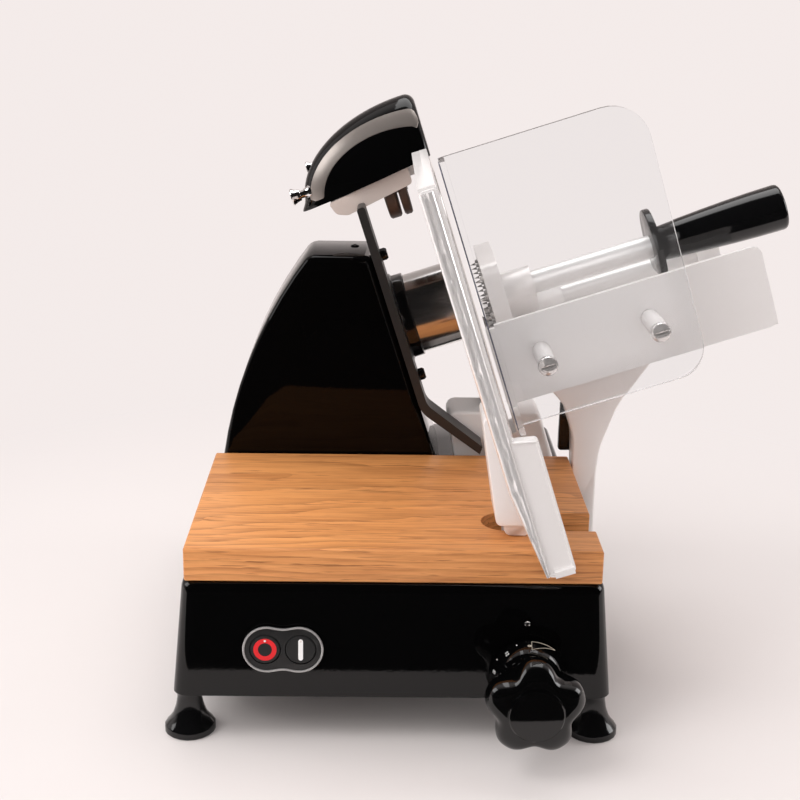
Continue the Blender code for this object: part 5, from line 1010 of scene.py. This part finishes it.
@dataclass
class Dial(SubAssembly):
    """The thickness knob with its flared scale, and the index stud over it."""

    coats: tuple[Coat, ...] = (Coat("pinion_shaft", STEEL),)
    lobe_count: int = 5
    lobe_reach: float = 31.2 * MM
    lobe_depth: float = 39.0 * MM
    valley_radius: float = 24.6 * MM
    shoulder_radius: float = 17.4 * MM
    shoulder_depth: float = 50.6 * MM
    length: float = 53.0 * MM
    neck_rows_end: float = 17.0 * MM
    lobe_rows_start: float = 18.0 * MM
    swell_span: tuple[float, float] = (14.0 * MM, 37.0 * MM)
    fall_power: float = 0.8
    wave_power: float = 3.0
    face_insets: tuple[float, ...] = (0.3 * MM, 0.5 * MM, 1.1 * MM, 2.0 * MM)
    face_depths: tuple[float, ...] = (2.2 * MM, 0.8 * MM, 0.15 * MM, 0.0, 0.0)
    bore: float = 19.6 * MM
    back: float = 0.2 * MM
    chamfer: float = 0.5 * MM
    chamfer_depth: float = 0.6 * MM
    rim_radius: float = 24.6 * MM
    neck_radius: float = 20.3 * MM
    rim_depth: float = 1.6 * MM
    neck_depth: float = 9.5 * MM
    figure_height: float = 2.3 * MM
    figures: tuple[str, ...] = ("0", "12", "10", "8", "6", "4", "2")
    figure_share: float = 0.42
    zero_share: float = 0.4
    dot_share: float = 0.16
    print_height: float = 0.08 * MM
    first_angle: float = radians(92)
    figure_step: float = radians(38)
    probe: float = 0.02
    wedge_span: tuple[float, float] = (radians(88), radians(50))
    wedge_upper: tuple[float, float] = (0.05, 0.05)
    wedge_lower: tuple[float, float] = (0.72, 0.06)
    wedge_end: tuple[float, float] = (0.08, 0.70)
    line_height: float = 0.06 * MM
    line_radius: float = 0.13 * MM
    dot: Profile = in_mm((0, 0), (0.38, 0), (0.38, 0.12), (0, 0.20))
    stud: Profile = in_mm((0, -0.5), (1.9, -0.5), (1.9, 0.2), (1.52, 0.8), (0.76, 1.15), (0, 1.25))
    stud_place: tuple[float, float] = (-1.5 * MM, 33.6 * MM)
    panel_depth: float = 2.5 * MM

    def details(self) -> None:
        """Add the flared scale, its figures, dots and wedge, and the index stud."""
        body = self.bodies["thickness_knob"]
        self.stand_for(skin("knob", self.knob_grid(), round_columns=True), "thickness_knob", KNOB_PLASTIC)
        ring = [(self.bore, self.back), (self.rim_radius - self.chamfer, self.back),
                (self.rim_radius, self.chamfer_depth), (self.rim_radius, self.rim_depth),
                (self.neck_radius, self.neck_depth), (self.bore, self.neck_depth), (self.bore, self.back)]
        self.dress(turned_skin("dial_scale", ring, self.seat(), 96), KNOB_PLASTIC, body)
        for index, text in enumerate(self.figures):
            angle = self.first_angle + index * self.figure_step
            if text != "0":
                self.figure(text, angle, self.figure_share, WHITE_PRINT)
            seat = self.flat(angle + self.figure_step / 2, self.dot_share)
            self.dress(turned_skin(f"dial_dot_{index}", self.dot, seat, 12), WHITE_PRINT, body)
        self.wedge(body)
        stud = turned_skin("index_stud", self.stud, self.panel().moved(*self.stud_place), 28)
        self.dress(stud, CHROME, self.bodies["base_shell"])

    def figure(self, text: str, angle: float, share: float, finish: Finish) -> None:
        """Print one figure on the scale.

        Args:
            text: The figure.
            angle: Its angle round the knob.
            share: Its place from the rim, 0, to the neck, 1.
            finish: Its finish.
        """
        made = word(f"dial_figure_{text}", text, self.figure_height, self.printed(angle, share))
        self.dress(made, finish, self.bodies["thickness_knob"])

    def knob_grid(self) -> np.ndarray:
        """Points of the knob: a radius that waves round the axis at each depth.

        The wave is 1 on a lobe and 0 in a valley: 1 less the cube of the sine of half the lobes'
        angle. Lobes and valleys swell from the neck by a smooth step and turn in through a quarter
        ellipse to the shoulder, on which the round face stands.

        Returns:
            The grid, back to front by round the axis, closed at both ends.
        """
        turn = np.linspace(0, pi / 2, 20)[1:]
        depth = np.concatenate([np.linspace(0.0, self.neck_rows_end, 8),
                                np.linspace(self.lobe_rows_start, self.lobe_depth, 22)])
        start, end = self.swell_span
        grow = np.clip((depth - start) / (end - start), 0, 1)
        swell = grow * grow * (3 - 2 * grow)
        fall = np.cos(turn) ** self.fall_power
        lobe, valley = (np.concatenate([self.neck_radius + (reach - self.neck_radius) * swell,
                                        self.shoulder_radius + (reach - self.shoulder_radius) * fall])
                        for reach in (self.lobe_reach, self.valley_radius))
        shoulder = self.lobe_depth + (self.shoulder_depth - self.lobe_depth) * np.sin(turn)
        angle = np.linspace(0, 2 * pi, 200, endpoint=False)
        wave = 1 - np.abs(np.sin(self.lobe_count * (angle - pi / 2) / 2)) ** self.wave_power
        radius = valley[:, None] + (lobe - valley)[:, None] * wave
        face = self.shoulder_radius - np.array(self.face_insets)[:, None]
        radius = np.concatenate([0 * radius[:1], radius, face + 0 * radius[:1], 0 * radius[:1]])
        depth = np.concatenate([depth[:1], depth, shoulder, self.length - np.array(self.face_depths)])
        return self.seat().at(radius * np.cos(angle), radius * np.sin(angle), depth[:, None])

    def seat(self) -> Seat:
        """The knob's back plane, facing the user."""
        return Seat(self.pivots["knob_turn"], RIGHT, UPRIGHT)

    def on_cone(self, angle: object, share: object, out: object) -> np.ndarray:
        """Points on the flared scale: the radius and depth run straight from rim to neck.

        Args:
            angle: Angle round the knob.
            share: 0 at the rim and 1 at the neck.
            out: Height over the surface.

        Returns:
            The points.
        """
        lean = np.array((self.neck_depth - self.rim_depth, self.rim_radius - self.neck_radius))
        lean = lean / np.linalg.norm(lean)
        radius = self.rim_radius + (self.neck_radius - self.rim_radius) * share + out * lean[0]
        depth = self.rim_depth + (self.neck_depth - self.rim_depth) * share + out * lean[1]
        return self.seat().at(radius * np.cos(angle), radius * np.sin(angle), depth)

    def printed(self, angle: float, share: float) -> Callable[[np.ndarray], np.ndarray]:
        """Lay a flat shape on the scale: aside runs to the neck and above runs clockwise.

        Args:
            angle: The angle round the knob of the shape's middle.
            share: Its middle's place from the rim, 0, to the neck, 1.

        Returns:
            A function that gives the points for an array of (aside, above, out).
        """
        length = float(np.hypot(self.neck_depth - self.rim_depth, self.rim_radius - self.neck_radius))
        radius = (self.rim_radius + self.neck_radius) / 2

        def place(flat: np.ndarray) -> np.ndarray:
            """Give the points on the scale for flat points."""
            return self.on_cone(angle - flat[:, 1] / radius, share + flat[:, 0] / length,
                                self.print_height + flat[:, 2])
        return place

    def flat(self, angle: float, share: float) -> Seat:
        """A flat seat on the scale, its axes found by short steps along and round the scale.

        Args:
            angle: Its angle round the knob.
            share: Its place from the rim, 0, to the neck, 1.

        Returns:
            The seat.
        """
        origin = self.on_cone(angle, share, 0.0)
        along = self.on_cone(angle, share + self.probe, 0.0) - origin
        around = self.on_cone(angle - self.probe, share, 0.0) - self.on_cone(angle + self.probe, share, 0.0)
        return Seat(origin, along / np.linalg.norm(along), around / np.linalg.norm(around))

    def wedge(self, body: str) -> None:
        """The gold wedge and its figure: the upper line keeps to the rim, the lower one closes on it.

        Args:
            body: The body that they move with.
        """
        for name, span, shares, steps in (
                ("dial_wedge_upper", self.wedge_span, self.wedge_upper, 24),
                ("dial_wedge_lower", self.wedge_span, self.wedge_lower, 24),
                ("dial_wedge_end", (self.wedge_span[0], self.wedge_span[0]), self.wedge_end, 12)):
            path = self.on_cone(np.linspace(*span, steps), np.linspace(*shares, steps), self.line_height)
            self.dress(swept(name, path, -AWAY, circle(self.line_radius, 6)), GOLD_PRINT, body)
        self.figure("0", self.first_angle, self.zero_share, GOLD_PRINT)

    def panel(self) -> Seat:
        """The leaning front panel behind the knob.

        Returns:
            A seat on the panel, square behind the knob's pivot, facing the user.
        """
        inward = self.pivots["stop_push.axis"]
        behind = self.pivots["knob_turn"] + inward * self.panel_depth
        return Seat(behind, RIGHT, np.cross(-inward, RIGHT))


@dataclass
class Tower(SubAssembly):
    """The motor housing with the motor, belt and hub."""

    coats: tuple[Coat, ...] = (
        Coat("motor_housing", TOWER_LACQUER, 1.6 * MM), Coat("rear_cover", SATIN_BLACK, 0.6 * MM),
        Coat("motor_body", BARE_CASTING, 0.5 * MM), Coat("motor_pulley", BRASS),
        Coat("spindle_pulley", BARE_CASTING), Coat("drive_belt", RUBBER),
        Coat("hub_collar", PLASTIC, 0.5 * MM), Coat("hub_sleeve", STEEL, 0.3 * MM),
        Coat("spindle_bearing_rear", STEEL), Coat("spindle_bearing_front", STEEL), Coat("spindle", STEEL))
    screw_place: tuple[float, float] = (-91.0 * MM, 80.0 * MM)
    screw: Profile = in_mm((0, -1), (3.2, -1), (3.2, 0.4), (2.6, 1.1), (1.4, 1.3), (1.3, 0.5), (0, 0.5))

    def details(self) -> None:
        """Add the screw on the roof."""
        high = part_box("motor_housing")[1].z
        seat = Seat(np.array((*self.screw_place, high)), RIGHT, AWAY)
        self.dress(turned_skin("roof_screw", self.screw, seat, 28), PLASTIC, self.bodies["motor_housing"])


@dataclass
class Knife(SubAssembly):
    """The round blade, its clamp, its ring guard and the slice deflector."""

    coats: tuple[Coat, ...] = (
        Coat("blade", STEEL), Coat("blade_clamp", STEEL), Coat("ring_guard", PALE_PAINT, 0.5 * MM),
        Coat("guard_pedestal", PALE_PAINT, 0.8 * MM), Coat("deflector", SATIN_BLACK, 0.4 * MM),
        Coat("deflector_screw_upper", PLASTIC), Coat("deflector_screw_lower", PLASTIC))


@dataclass
class Gauge(SubAssembly):
    """The gauge plate with its polished fold and thin rims, its post and its slide."""

    coats: tuple[Coat, ...] = (Coat("gauge_plate", PLATE_SATIN, 0.6 * MM), Coat("gauge_post", PALE_PAINT),
                               Coat("gauge_slide", BARE_CASTING, 0.2 * MM))
    front: float = -16.5 * MM
    face: float = 89.7 * MM
    rim: float = 79.2 * MM
    fold_high: float = 209.0 * MM
    fold_low: float = -38.0 * MM
    fold_proud: float = 3.4 * MM
    fold_outset: float = 0.3 * MM
    fold_gap: float = 1.7 * MM
    taper: float = 7.0 * MM
    taper_top: float = 20.0 * MM
    taper_length: float = 60.0 * MM
    groove_depth: float = 0.55
    groove_width: float = 0.24
    groove_middle: float = -0.05
    groove_sways: tuple[Triple, ...] = ((0.10, 170.0, 0.0), (0.07, 410.0, 1.0))
    flange: Profile = in_mm((89.2, 51.2), (103.5, 48.0), (103.5, -37.8), (87.7, -37.8))
    bead: float = 0.8 * MM

    def details(self) -> None:
        """Add the fold down the left edge and the rim round the low flange."""
        body = self.bodies["gauge_plate"]
        fold = skin("gauge_fold", self.fold_grid(), round_columns=True, cap_rows=True)
        self.dress(fold, POLISHED, body)
        for index, ends in enumerate(zip(self.flange, self.flange[1:])):
            across, up = np.linspace(*ends, 12).T
            path = self.slant.at(across, self.front, up)
            rim = swept(f"flange_rim_{index}", path, -AWAY, circle(self.bead, 12))
            self.dress(rim, PLATE_SATIN, body)

    def fold_grid(self) -> np.ndarray:
        """Points of the fold: a grooved ellipse carried up the plate's left edge.

        The left side keeps to the plate's rim and runs in at its foot, over the taper's length. The
        right side stays a little short of the face. The groove is a bell-shaped dip whose middle
        sways with height by two sines, each given as its size, waves and start.

        Returns:
            The grid, bottom to top by round the section.
        """
        up = np.linspace(self.fold_low, self.fold_high, 90)[:, None]
        run_in = self.taper * np.clip((self.taper_top - up) / self.taper_length, 0, 1)
        left = self.rim + run_in - self.fold_outset
        right = self.face - self.fold_gap
        angle = np.linspace(0, 2 * pi, 28, endpoint=False)
        across = (left + right) / 2 + (right - left) / 2 * np.cos(angle)
        sway = sum(size * np.sin(waves * up + start) for size, waves, start in self.groove_sways)
        dip = np.exp(-((np.cos(angle) - self.groove_middle - sway) / self.groove_width) ** 2)
        away = self.front + self.fold_proud * np.sin(angle) * (1 - self.groove_depth * dip)
        return self.slant.at(across, away, up)


@dataclass
class Carriage(SubAssembly):
    """The arm, tray, hand guard and rail that slide along the base."""

    coats: tuple[Coat, ...] = (
        Coat("slide_block", BARE_CASTING, 0.6 * MM), Coat("carriage_arm", PALE_PAINT, 0.8 * MM),
        Coat("arm_shroud", PLASTIC, 1.5 * MM), Coat("food_tray", TRAY_SATIN, 0.6 * MM),
        Coat("hand_guard", ACRYLIC, 0.5 * MM), Coat("guard_spacer_left", TRAY_SATIN),
        Coat("guard_spacer_right", TRAY_SATIN), Coat("guard_screw_left", SCREW_SATIN),
        Coat("guard_screw_right", SCREW_SATIN), Coat("pusher_rail", TUBE_SATIN))
    # Where the painted dark edge lines lie on the guard's flange: their n, each line's Y and radius, and
    # how far up they run.
    shade_line_n: float = 95.1 * MM
    shade_lines: Profile = in_mm((48.0, 0.30), (52.5, 0.22), (59.0, 0.45), (64.0, 0.22), (70.5, 0.35))
    shade_line_span: tuple[float, float] = (36.0 * MM, 212.0 * MM)

    def details(self) -> None:
        """Add thin dark bluish lines along the clear guard's flange, each by its Y and radius: painted
        shade and reflection that stand in for how the acrylic's edges bend and reflect the light.
        """
        up = np.linspace(*self.shade_line_span, 16)
        for index, (away, radius) in enumerate(self.shade_lines):
            path = self.slant.at(self.shade_line_n, away, up)
            line = swept(f"guard_painted_edge_{index}", path, -self.slant.across, circle(radius, 8))
            self.dress(line, EDGE_SHADE_PAINT, self.bodies["hand_guard"])


@dataclass
class Pusher(SubAssembly):
    """The food pusher with its grip."""

    coats: tuple[Coat, ...] = (
        Coat("pusher_sleeve", TRAY_SATIN), Coat("pusher_plate", PALE_PAINT),
        Coat("pusher_tube", TUBE_SATIN), Coat("pusher_disc", PLASTIC, 0.6 * MM),
        Coat("pusher_grip", PLASTIC))


@dataclass(frozen=True)
class Pin:
    """A push pin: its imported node, its outer end's n, Y and m, and its head's radius."""

    node: str
    place: Triple
    head: float


@dataclass
class Sharpener(SubAssembly):
    """The domed sharpener above the blade, with its champagne stripe, lip, bushings and pins."""

    coats: tuple[Coat, ...] = (
        Coat("sharpener_mount", PALE_PAINT), Coat("sharpener_arm", ARM_SATIN),
        Coat("grinding_stone", STONE), Coat("honing_stone", STONE))
    middle: Triple = (84.0 * MM, 226.0 * MM, 188.0 * MM)
    half: Triple = (91.0 * MM, 34.0 * MM, 57.0 * MM)
    wall: float = 2.5 * MM
    end: float = 91.0 * MM
    end_round: float = 7.0 * MM
    round_less: float = 1.5 * MM
    tip_angle: float = radians(2.2)
    dome_rows: int = 56
    end_rows: int = 6
    rim_level: float = 200.0 * MM
    rim_fall: float = 1 / 7
    lip_reach: float = 3.6 * MM
    lip_height: float = 3.6 * MM
    lip_drop: float = 0.3
    lip_start: float = -7.0 * MM
    lip_length: float = 16.0 * MM
    lip_power: float = 1.5
    stripe_out: float = 0.22 * MM
    stripe_in: float = 0.4 * MM
    stripe_span: tuple[float, float] = (radians(5), radians(95))
    stripe_rows: int = 72
    stripe_side: float = 15.0 * MM
    stripe_half: float = 3.9 * MM
    stripe_bend: float = 7.3 * MM
    stripe_fall: float = 0.90
    stripe_least: float = 0.04
    sunk_most: float = 0.99
    pins: tuple[Pin, ...] = (Pin("grinding_pin", (-15.0 * MM, 219.0 * MM, 199.0 * MM), 6.3 * MM),
                             Pin("honing_pin", (0.9 * MM, 233.0 * MM, 214.0 * MM), 5.2 * MM))
    head: Profile = ((0, 0.5), (0.55, 0.3), (0.82, 0), (0.95, 0.3), (1.0, 1.0), (0.95, 1.9), (0.78, 3.4),
                     (0.70, 5.2), (0.66, 6.8))
    shaft: Profile = in_mm((2.9, 7.2), (2.9, 21), (0, 21))
    bush: Profile = in_mm((3.05, 10), (3.6, 10), (3.8, 11.2), (4.5, 13), (5.2, 14.2), (5.2, 19),
                          (3.05, 19), (3.05, 10))

    def details(self) -> None:
        """Add the smooth dome, its stripe and the two pins with their bushings."""
        dome = slab("dome", self.dome_grid(0.0), self.dome_grid(self.wall))
        self.stand_for(dome, "sharpener_dome", LACQUER)
        stripe = slab("dome_stripe", self.stripe_grid(self.stripe_out), self.stripe_grid(-self.stripe_in))
        self.dress(stripe, CHAMPAGNE, self.bodies["sharpener_dome"])
        for pin in self.pins:
            self.spool(pin)

    def dome_grid(self, inset: float) -> np.ndarray:
        """Points of the dome: an ellipse swept from the tip to the end, shrinking by k.

        At an angle u along the dome, n is the middle less the half length times cos u, and k is sin u.
        Each section is the upper part of an ellipse of k times the half sizes, from the rim in front to
        the rim behind. The end turns in through a quarter circle and closes on the rim's middle. Near
        the tip the rim flares outwards.

        Args:
            inset: How far the skin lies inside the outside.

        Returns:
            The grid, tip to end by front to rear.
        """
        half = np.array(self.half) - inset
        end = self.end - inset
        turn = self.end_round - min(inset, self.round_less)
        last = float(np.arccos((self.middle[0] - end + turn) / half[0]))
        along = np.linspace(self.tip_angle, last, self.dome_rows)
        bend = np.linspace(0, pi / 2, self.end_rows + 1)[1:]
        still = np.ones(self.end_rows)
        across = np.concatenate([self.middle[0] - half[0] * np.cos(along),
                                 end - turn + turn * np.sin(bend), end * still])
        shrink = np.concatenate([0 * along, turn * (1 - np.cos(bend)), turn * still])
        size = np.concatenate([np.sin(along), np.sin(last) * still, np.sin(last) * still])
        close = np.linspace(1, 0, self.end_rows + 1)[1:]
        scale = np.concatenate([1 + 0 * along, still, close])[:, None]
        rim = self.rim_level + (across - self.middle[0]) * self.rim_fall
        wide = half[1] * size - shrink
        tall = half[2] * size - shrink
        low = np.arcsin(np.clip((rim - self.middle[2]) / tall, -1, 1))
        angle = low[:, None] + (pi - 2 * low[:, None]) * np.linspace(0, 1, 73)
        away = -wide[:, None] * np.cos(angle) * scale
        above = (self.middle[2] + tall[:, None] * np.sin(angle) - rim[:, None]) * scale
        past = np.clip(1 - (across[:, None] - self.lip_start) / self.lip_length, 0, 1)
        flare = self.lip_reach * np.exp(-(above / self.lip_height) ** 2) * past ** self.lip_power
        return self.slant.at(across[:, None] - flare, self.middle[1] + away,
                             rim[:, None] + above - self.lip_drop * flare)

    def stripe_grid(self, out: float) -> np.ndarray:
        """Points of the stripe: on the ellipsoid, at a Y that leans outwards as it climbs.

        Near both ends its width falls by a quarter circle over the square of the length. Over the
        dome's rounded end it sinks by that quarter circle's fall.

        Args:
            out: Height over the dome.

        Returns:
            The grid, along the stripe by across it.
        """
        climb = np.linspace(*self.stripe_span, self.stripe_rows)[:, None]
        length = np.linspace(-1, 1, self.stripe_rows)[:, None]
        side = np.linspace(-1, 1, 9)
        past = np.clip((length ** 2 - self.stripe_fall) / (1 - self.stripe_fall), 0, 1)
        width = self.stripe_half * np.sqrt(np.clip(1 - past ** 2, self.stripe_least, 1))
        offset = self.stripe_side + width * side + self.stripe_bend * (1 - np.cos(climb))
        half = np.array(self.half) + out
        size = np.sqrt(1 - (offset / half[1]) ** 2)
        across = self.middle[0] - half[0] * size * np.cos(climb)
        over = np.clip((across - self.end + self.end_round) / self.end_round, 0, self.sunk_most)
        sunk = self.end_round * (1 - np.sqrt(1 - over ** 2))
        return self.slant.at(across, self.middle[1] - offset,
                             self.middle[2] + half[2] * size * np.sin(climb) - sunk)

    def spool(self, pin: Pin) -> None:
        """A spool-shaped push pin and the flared bushing that it slides in.

        The head's profile is given in shares of its radius and in millimetres of depth.

        Args:
            pin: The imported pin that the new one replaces, with its place and head.
        """
        seat = Seat(self.slant.at(*pin.place), AWAY, self.slant.up)
        head = tuple((share * pin.head, depth * MM) for share, depth in self.head)
        spool = turned_skin(f"{pin.node}.turned", head + self.shaft, seat, 40)
        self.stand_for(spool, pin.node, CHROME)
        bush = turned_skin(f"{pin.node}_bush", self.bush, seat, 36)
        self.dress(bush, CHROME, self.bodies["sharpener_dome"])


# Studio

@dataclass(frozen=True)
class Lamp:
    """A soft rectangular lamp."""

    name: str
    place: Triple
    aim: Triple
    size: tuple[float, float]
    power: float
    mirrored: bool = True

    def hang(self) -> None:
        """Put the lamp into the scene, turned to what it lights."""
        data = bpy.data.lights.new(self.name, "AREA")
        data.shape = "RECTANGLE"
        data.size, data.size_y = self.size
        data.energy = self.power
        lamp = bpy.data.objects.new(self.name, data)
        lamp.location = self.place
        lamp.visible_glossy = self.mirrored
        lamp.rotation_euler = (Vector(self.aim) - Vector(self.place)).to_track_quat("-Z", "Y").to_euler()
        bpy.context.scene.collection.objects.link(lamp)


@dataclass(frozen=True)
class Studio:
    """The pale sweep, the soft lamps, the plain surroundings and the camera."""

    camera_place: Triple = (-0.0725, -0.9483, 0.4728)
    pitch: float = radians(16.90)
    yaw: float = radians(0.93)
    roll: float = radians(0.89)
    lens: float = 63.0
    sensor: float = 36.0
    sweep_reach: float = 5.0
    sweep_turn: float = 1.5
    sweep_radius: float = 1.4
    table_front: float = -0.284
    floor_colour: Colour = (0.75, 0.705, 0.69)
    paper_colour: Colour = (0.905, 0.835, 0.820)
    shade_middle: Triple = (-0.05, 0.02, 0.0)
    shade_near: float = 0.16
    shade_far: float = 0.60
    floor_roughness: float = 0.9
    room_colour: Colour = (0.004, 0.004, 0.004)
    air_colour: Colour = (0.90, 0.832, 0.818)
    air_strength: float = 0.60
    back_glow: float = 0.95
    front_glow: float = 0.012
    glow_span: tuple[float, float] = (-0.15, 0.25)
    lamps: tuple[Lamp, ...] = (
        Lamp("key", (-1.3, -0.9, 1.7), (-0.02, 0.02, 0.15), (1.0, 1.3), 23.0, mirrored=False),
        Lamp("front", (-0.3, -2.1, 1.3), (0.0, 0.0, 0.18), (1.8, 1.4), 11.0, mirrored=False),
        Lamp("top", (0.1, 0.6, 2.2), (0.0, 0.05, 0.1), (1.8, 1.4), 20.0),
        Lamp("left", (-1.75, 0.0, 1.05), (-0.05, 0.0, 0.15), (0.8, 0.9), 7.0),
        Lamp("side", (1.8, 0.12, 0.78), (0.05, 0.05, 0.15), (0.8, 0.8), 9.0))

    def build(self) -> None:
        """Make the floor, lamps, surroundings and camera."""
        self.sweep()
        for lamp in self.lamps:
            lamp.hang()
        self.air()
        self.camera()
        bpy.context.scene.view_settings.view_transform = "Standard"

    def sweep(self) -> None:
        """The floor runs level, turns up through a quarter circle and goes on as a wall."""
        angle = np.linspace(0, pi / 2, 24)
        along = np.concatenate([[-self.sweep_reach], self.sweep_turn + self.sweep_radius * np.sin(angle),
                                [self.sweep_turn + self.sweep_radius]])
        height = np.concatenate([[0.0], self.sweep_radius * (1 - np.cos(angle)), [self.sweep_reach]])
        across = np.linspace(-self.sweep_reach, self.sweep_reach, 2)
        points = np.stack(np.broadcast_arrays(across[None, :], along[:, None], height[:, None]), axis=-1)
        floor = skin("floor", points)
        floor.data.materials.append(self.floor_paper())

    def floor_paper(self) -> bpy.types.Material:
        """Pale paper that ends, for what polished faces reflect, at the table's front edge.

        Away from the slicer the camera sees the paper's own colour, without light or shade.

        Returns:
            The floor's material.
        """
        made = bpy.data.materials.new("studio_floor")
        made.use_nodes = True
        bench = Bench(made.node_tree)
        shader = made.node_tree.nodes["Principled BSDF"]
        shader.inputs["Roughness"].default_value = self.floor_roughness
        path = bench.add("ShaderNodeLightPath").outputs
        place = bench.add("ShaderNodeTexCoord").outputs["Object"]
        along = bench.add("ShaderNodeSeparateXYZ", {0: place}).outputs["Y"]
        ahead = bench.math("LESS_THAN", along, self.table_front)
        hidden = bench.math("MULTIPLY", ahead, path["Is Glossy Ray"])
        colour = bench.mix(hidden, (*self.floor_colour, 1.0), (*self.room_colour, 1.0))
        bench.feed(shader, {"Base Color": colour})
        far = bench.add("ShaderNodeVectorMath", {0: place, 1: self.shade_middle}, operation="DISTANCE")
        away = bench.span(far.outputs["Value"], self.shade_near, self.shade_far)
        paper = bench.add("ShaderNodeEmission", {"Color": (*self.paper_colour, 1.0), "Strength": 1.0})
        straight = bench.math("MAXIMUM", path["Is Camera Ray"], path["Is Transmission Ray"])
        seen = bench.math("MULTIPLY", away, straight)
        both = bench.add("ShaderNodeMixShader", {0: seen, 1: shader.outputs[0], 2: paper.outputs[0]})
        bench.feed(made.node_tree.nodes["Material Output"], {"Surface": both.outputs[0]})
        return made

    def air(self) -> None:
        """Pale surroundings behind and above, and a dark room ahead for what reflects it."""
        world = bpy.data.worlds.new("air")
        world.use_nodes = True
        bench = Bench(world.node_tree)
        back = world.node_tree.nodes["Background"]
        back.inputs["Color"].default_value = (*self.air_colour, 1.0)
        way = bench.add("ShaderNodeTexCoord").outputs["Generated"]
        along = bench.add("ShaderNodeSeparateXYZ", {0: way}).outputs["Y"]
        glow = bench.span(along, *self.glow_span, start=self.front_glow, end=self.back_glow)
        path = bench.add("ShaderNodeLightPath").outputs
        strength = self.air_strength
        for ray, value in (("Is Glossy Ray", glow), ("Is Camera Ray", 1.0), ("Is Transmission Ray", 1.0)):
            node = bench.add("ShaderNodeMix", {0: path[ray], 2: strength, 3: value}, data_type="FLOAT")
            strength = node.outputs[0]
        bench.feed(back, {"Strength": strength})
        bpy.context.scene.world = world

    def camera(self) -> None:
        """The camera stands where the photograph was taken, turned by pitch, yaw and roll."""
        level = cos(self.pitch)
        ahead = Vector((sin(self.yaw) * level, cos(self.yaw) * level, -sin(self.pitch)))
        right = Vector((cos(self.yaw), -sin(self.yaw), 0.0))
        up = right.cross(ahead)
        side = cos(self.roll) * right + sin(self.roll) * up
        top = -sin(self.roll) * right + cos(self.roll) * up
        data = bpy.data.cameras.new("camera")
        data.lens = self.lens
        data.sensor_width = self.sensor
        camera = bpy.data.objects.new("camera", data)
        turn = Matrix((side, top, -ahead)).transposed().to_4x4()
        camera.matrix_world = Matrix.Translation(Vector(self.camera_place)) @ turn
        bpy.context.scene.collection.objects.link(camera)
        bpy.context.scene.camera = camera


def main() -> None:
    """Load the frame, build the studio and every sub-assembly."""
    logging.basicConfig(level=logging.INFO, format="%(name)s %(message)s")
    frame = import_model()
    for old in [o for o in bpy.context.scene.objects if o.type in ("CAMERA", "LIGHT")]:
        bpy.data.objects.remove(old)
    make_effects()
    Studio().build()
    slant = Slant.read(frame["joints"])
    bodies = {node: body for body, members in frame["record"]["behaviour"]["bodies"].items()
              for node in members}
    pivots = {joint["name"]: np.array(joint["pos_m"]) for joint in frame["joints"] if "pos_m" in joint}
    pivots |= {f"{joint['name']}.axis": np.array(joint["axis"], float) for joint in frame["joints"]}
    for kind in (BaseCasting, Board, Switch, Dial, Tower, Knife, Gauge, Carriage, Pusher, Sharpener):
        kind(slant, frame["nodes"], bodies, pivots).build()


if __name__ == "__main__":
    main()
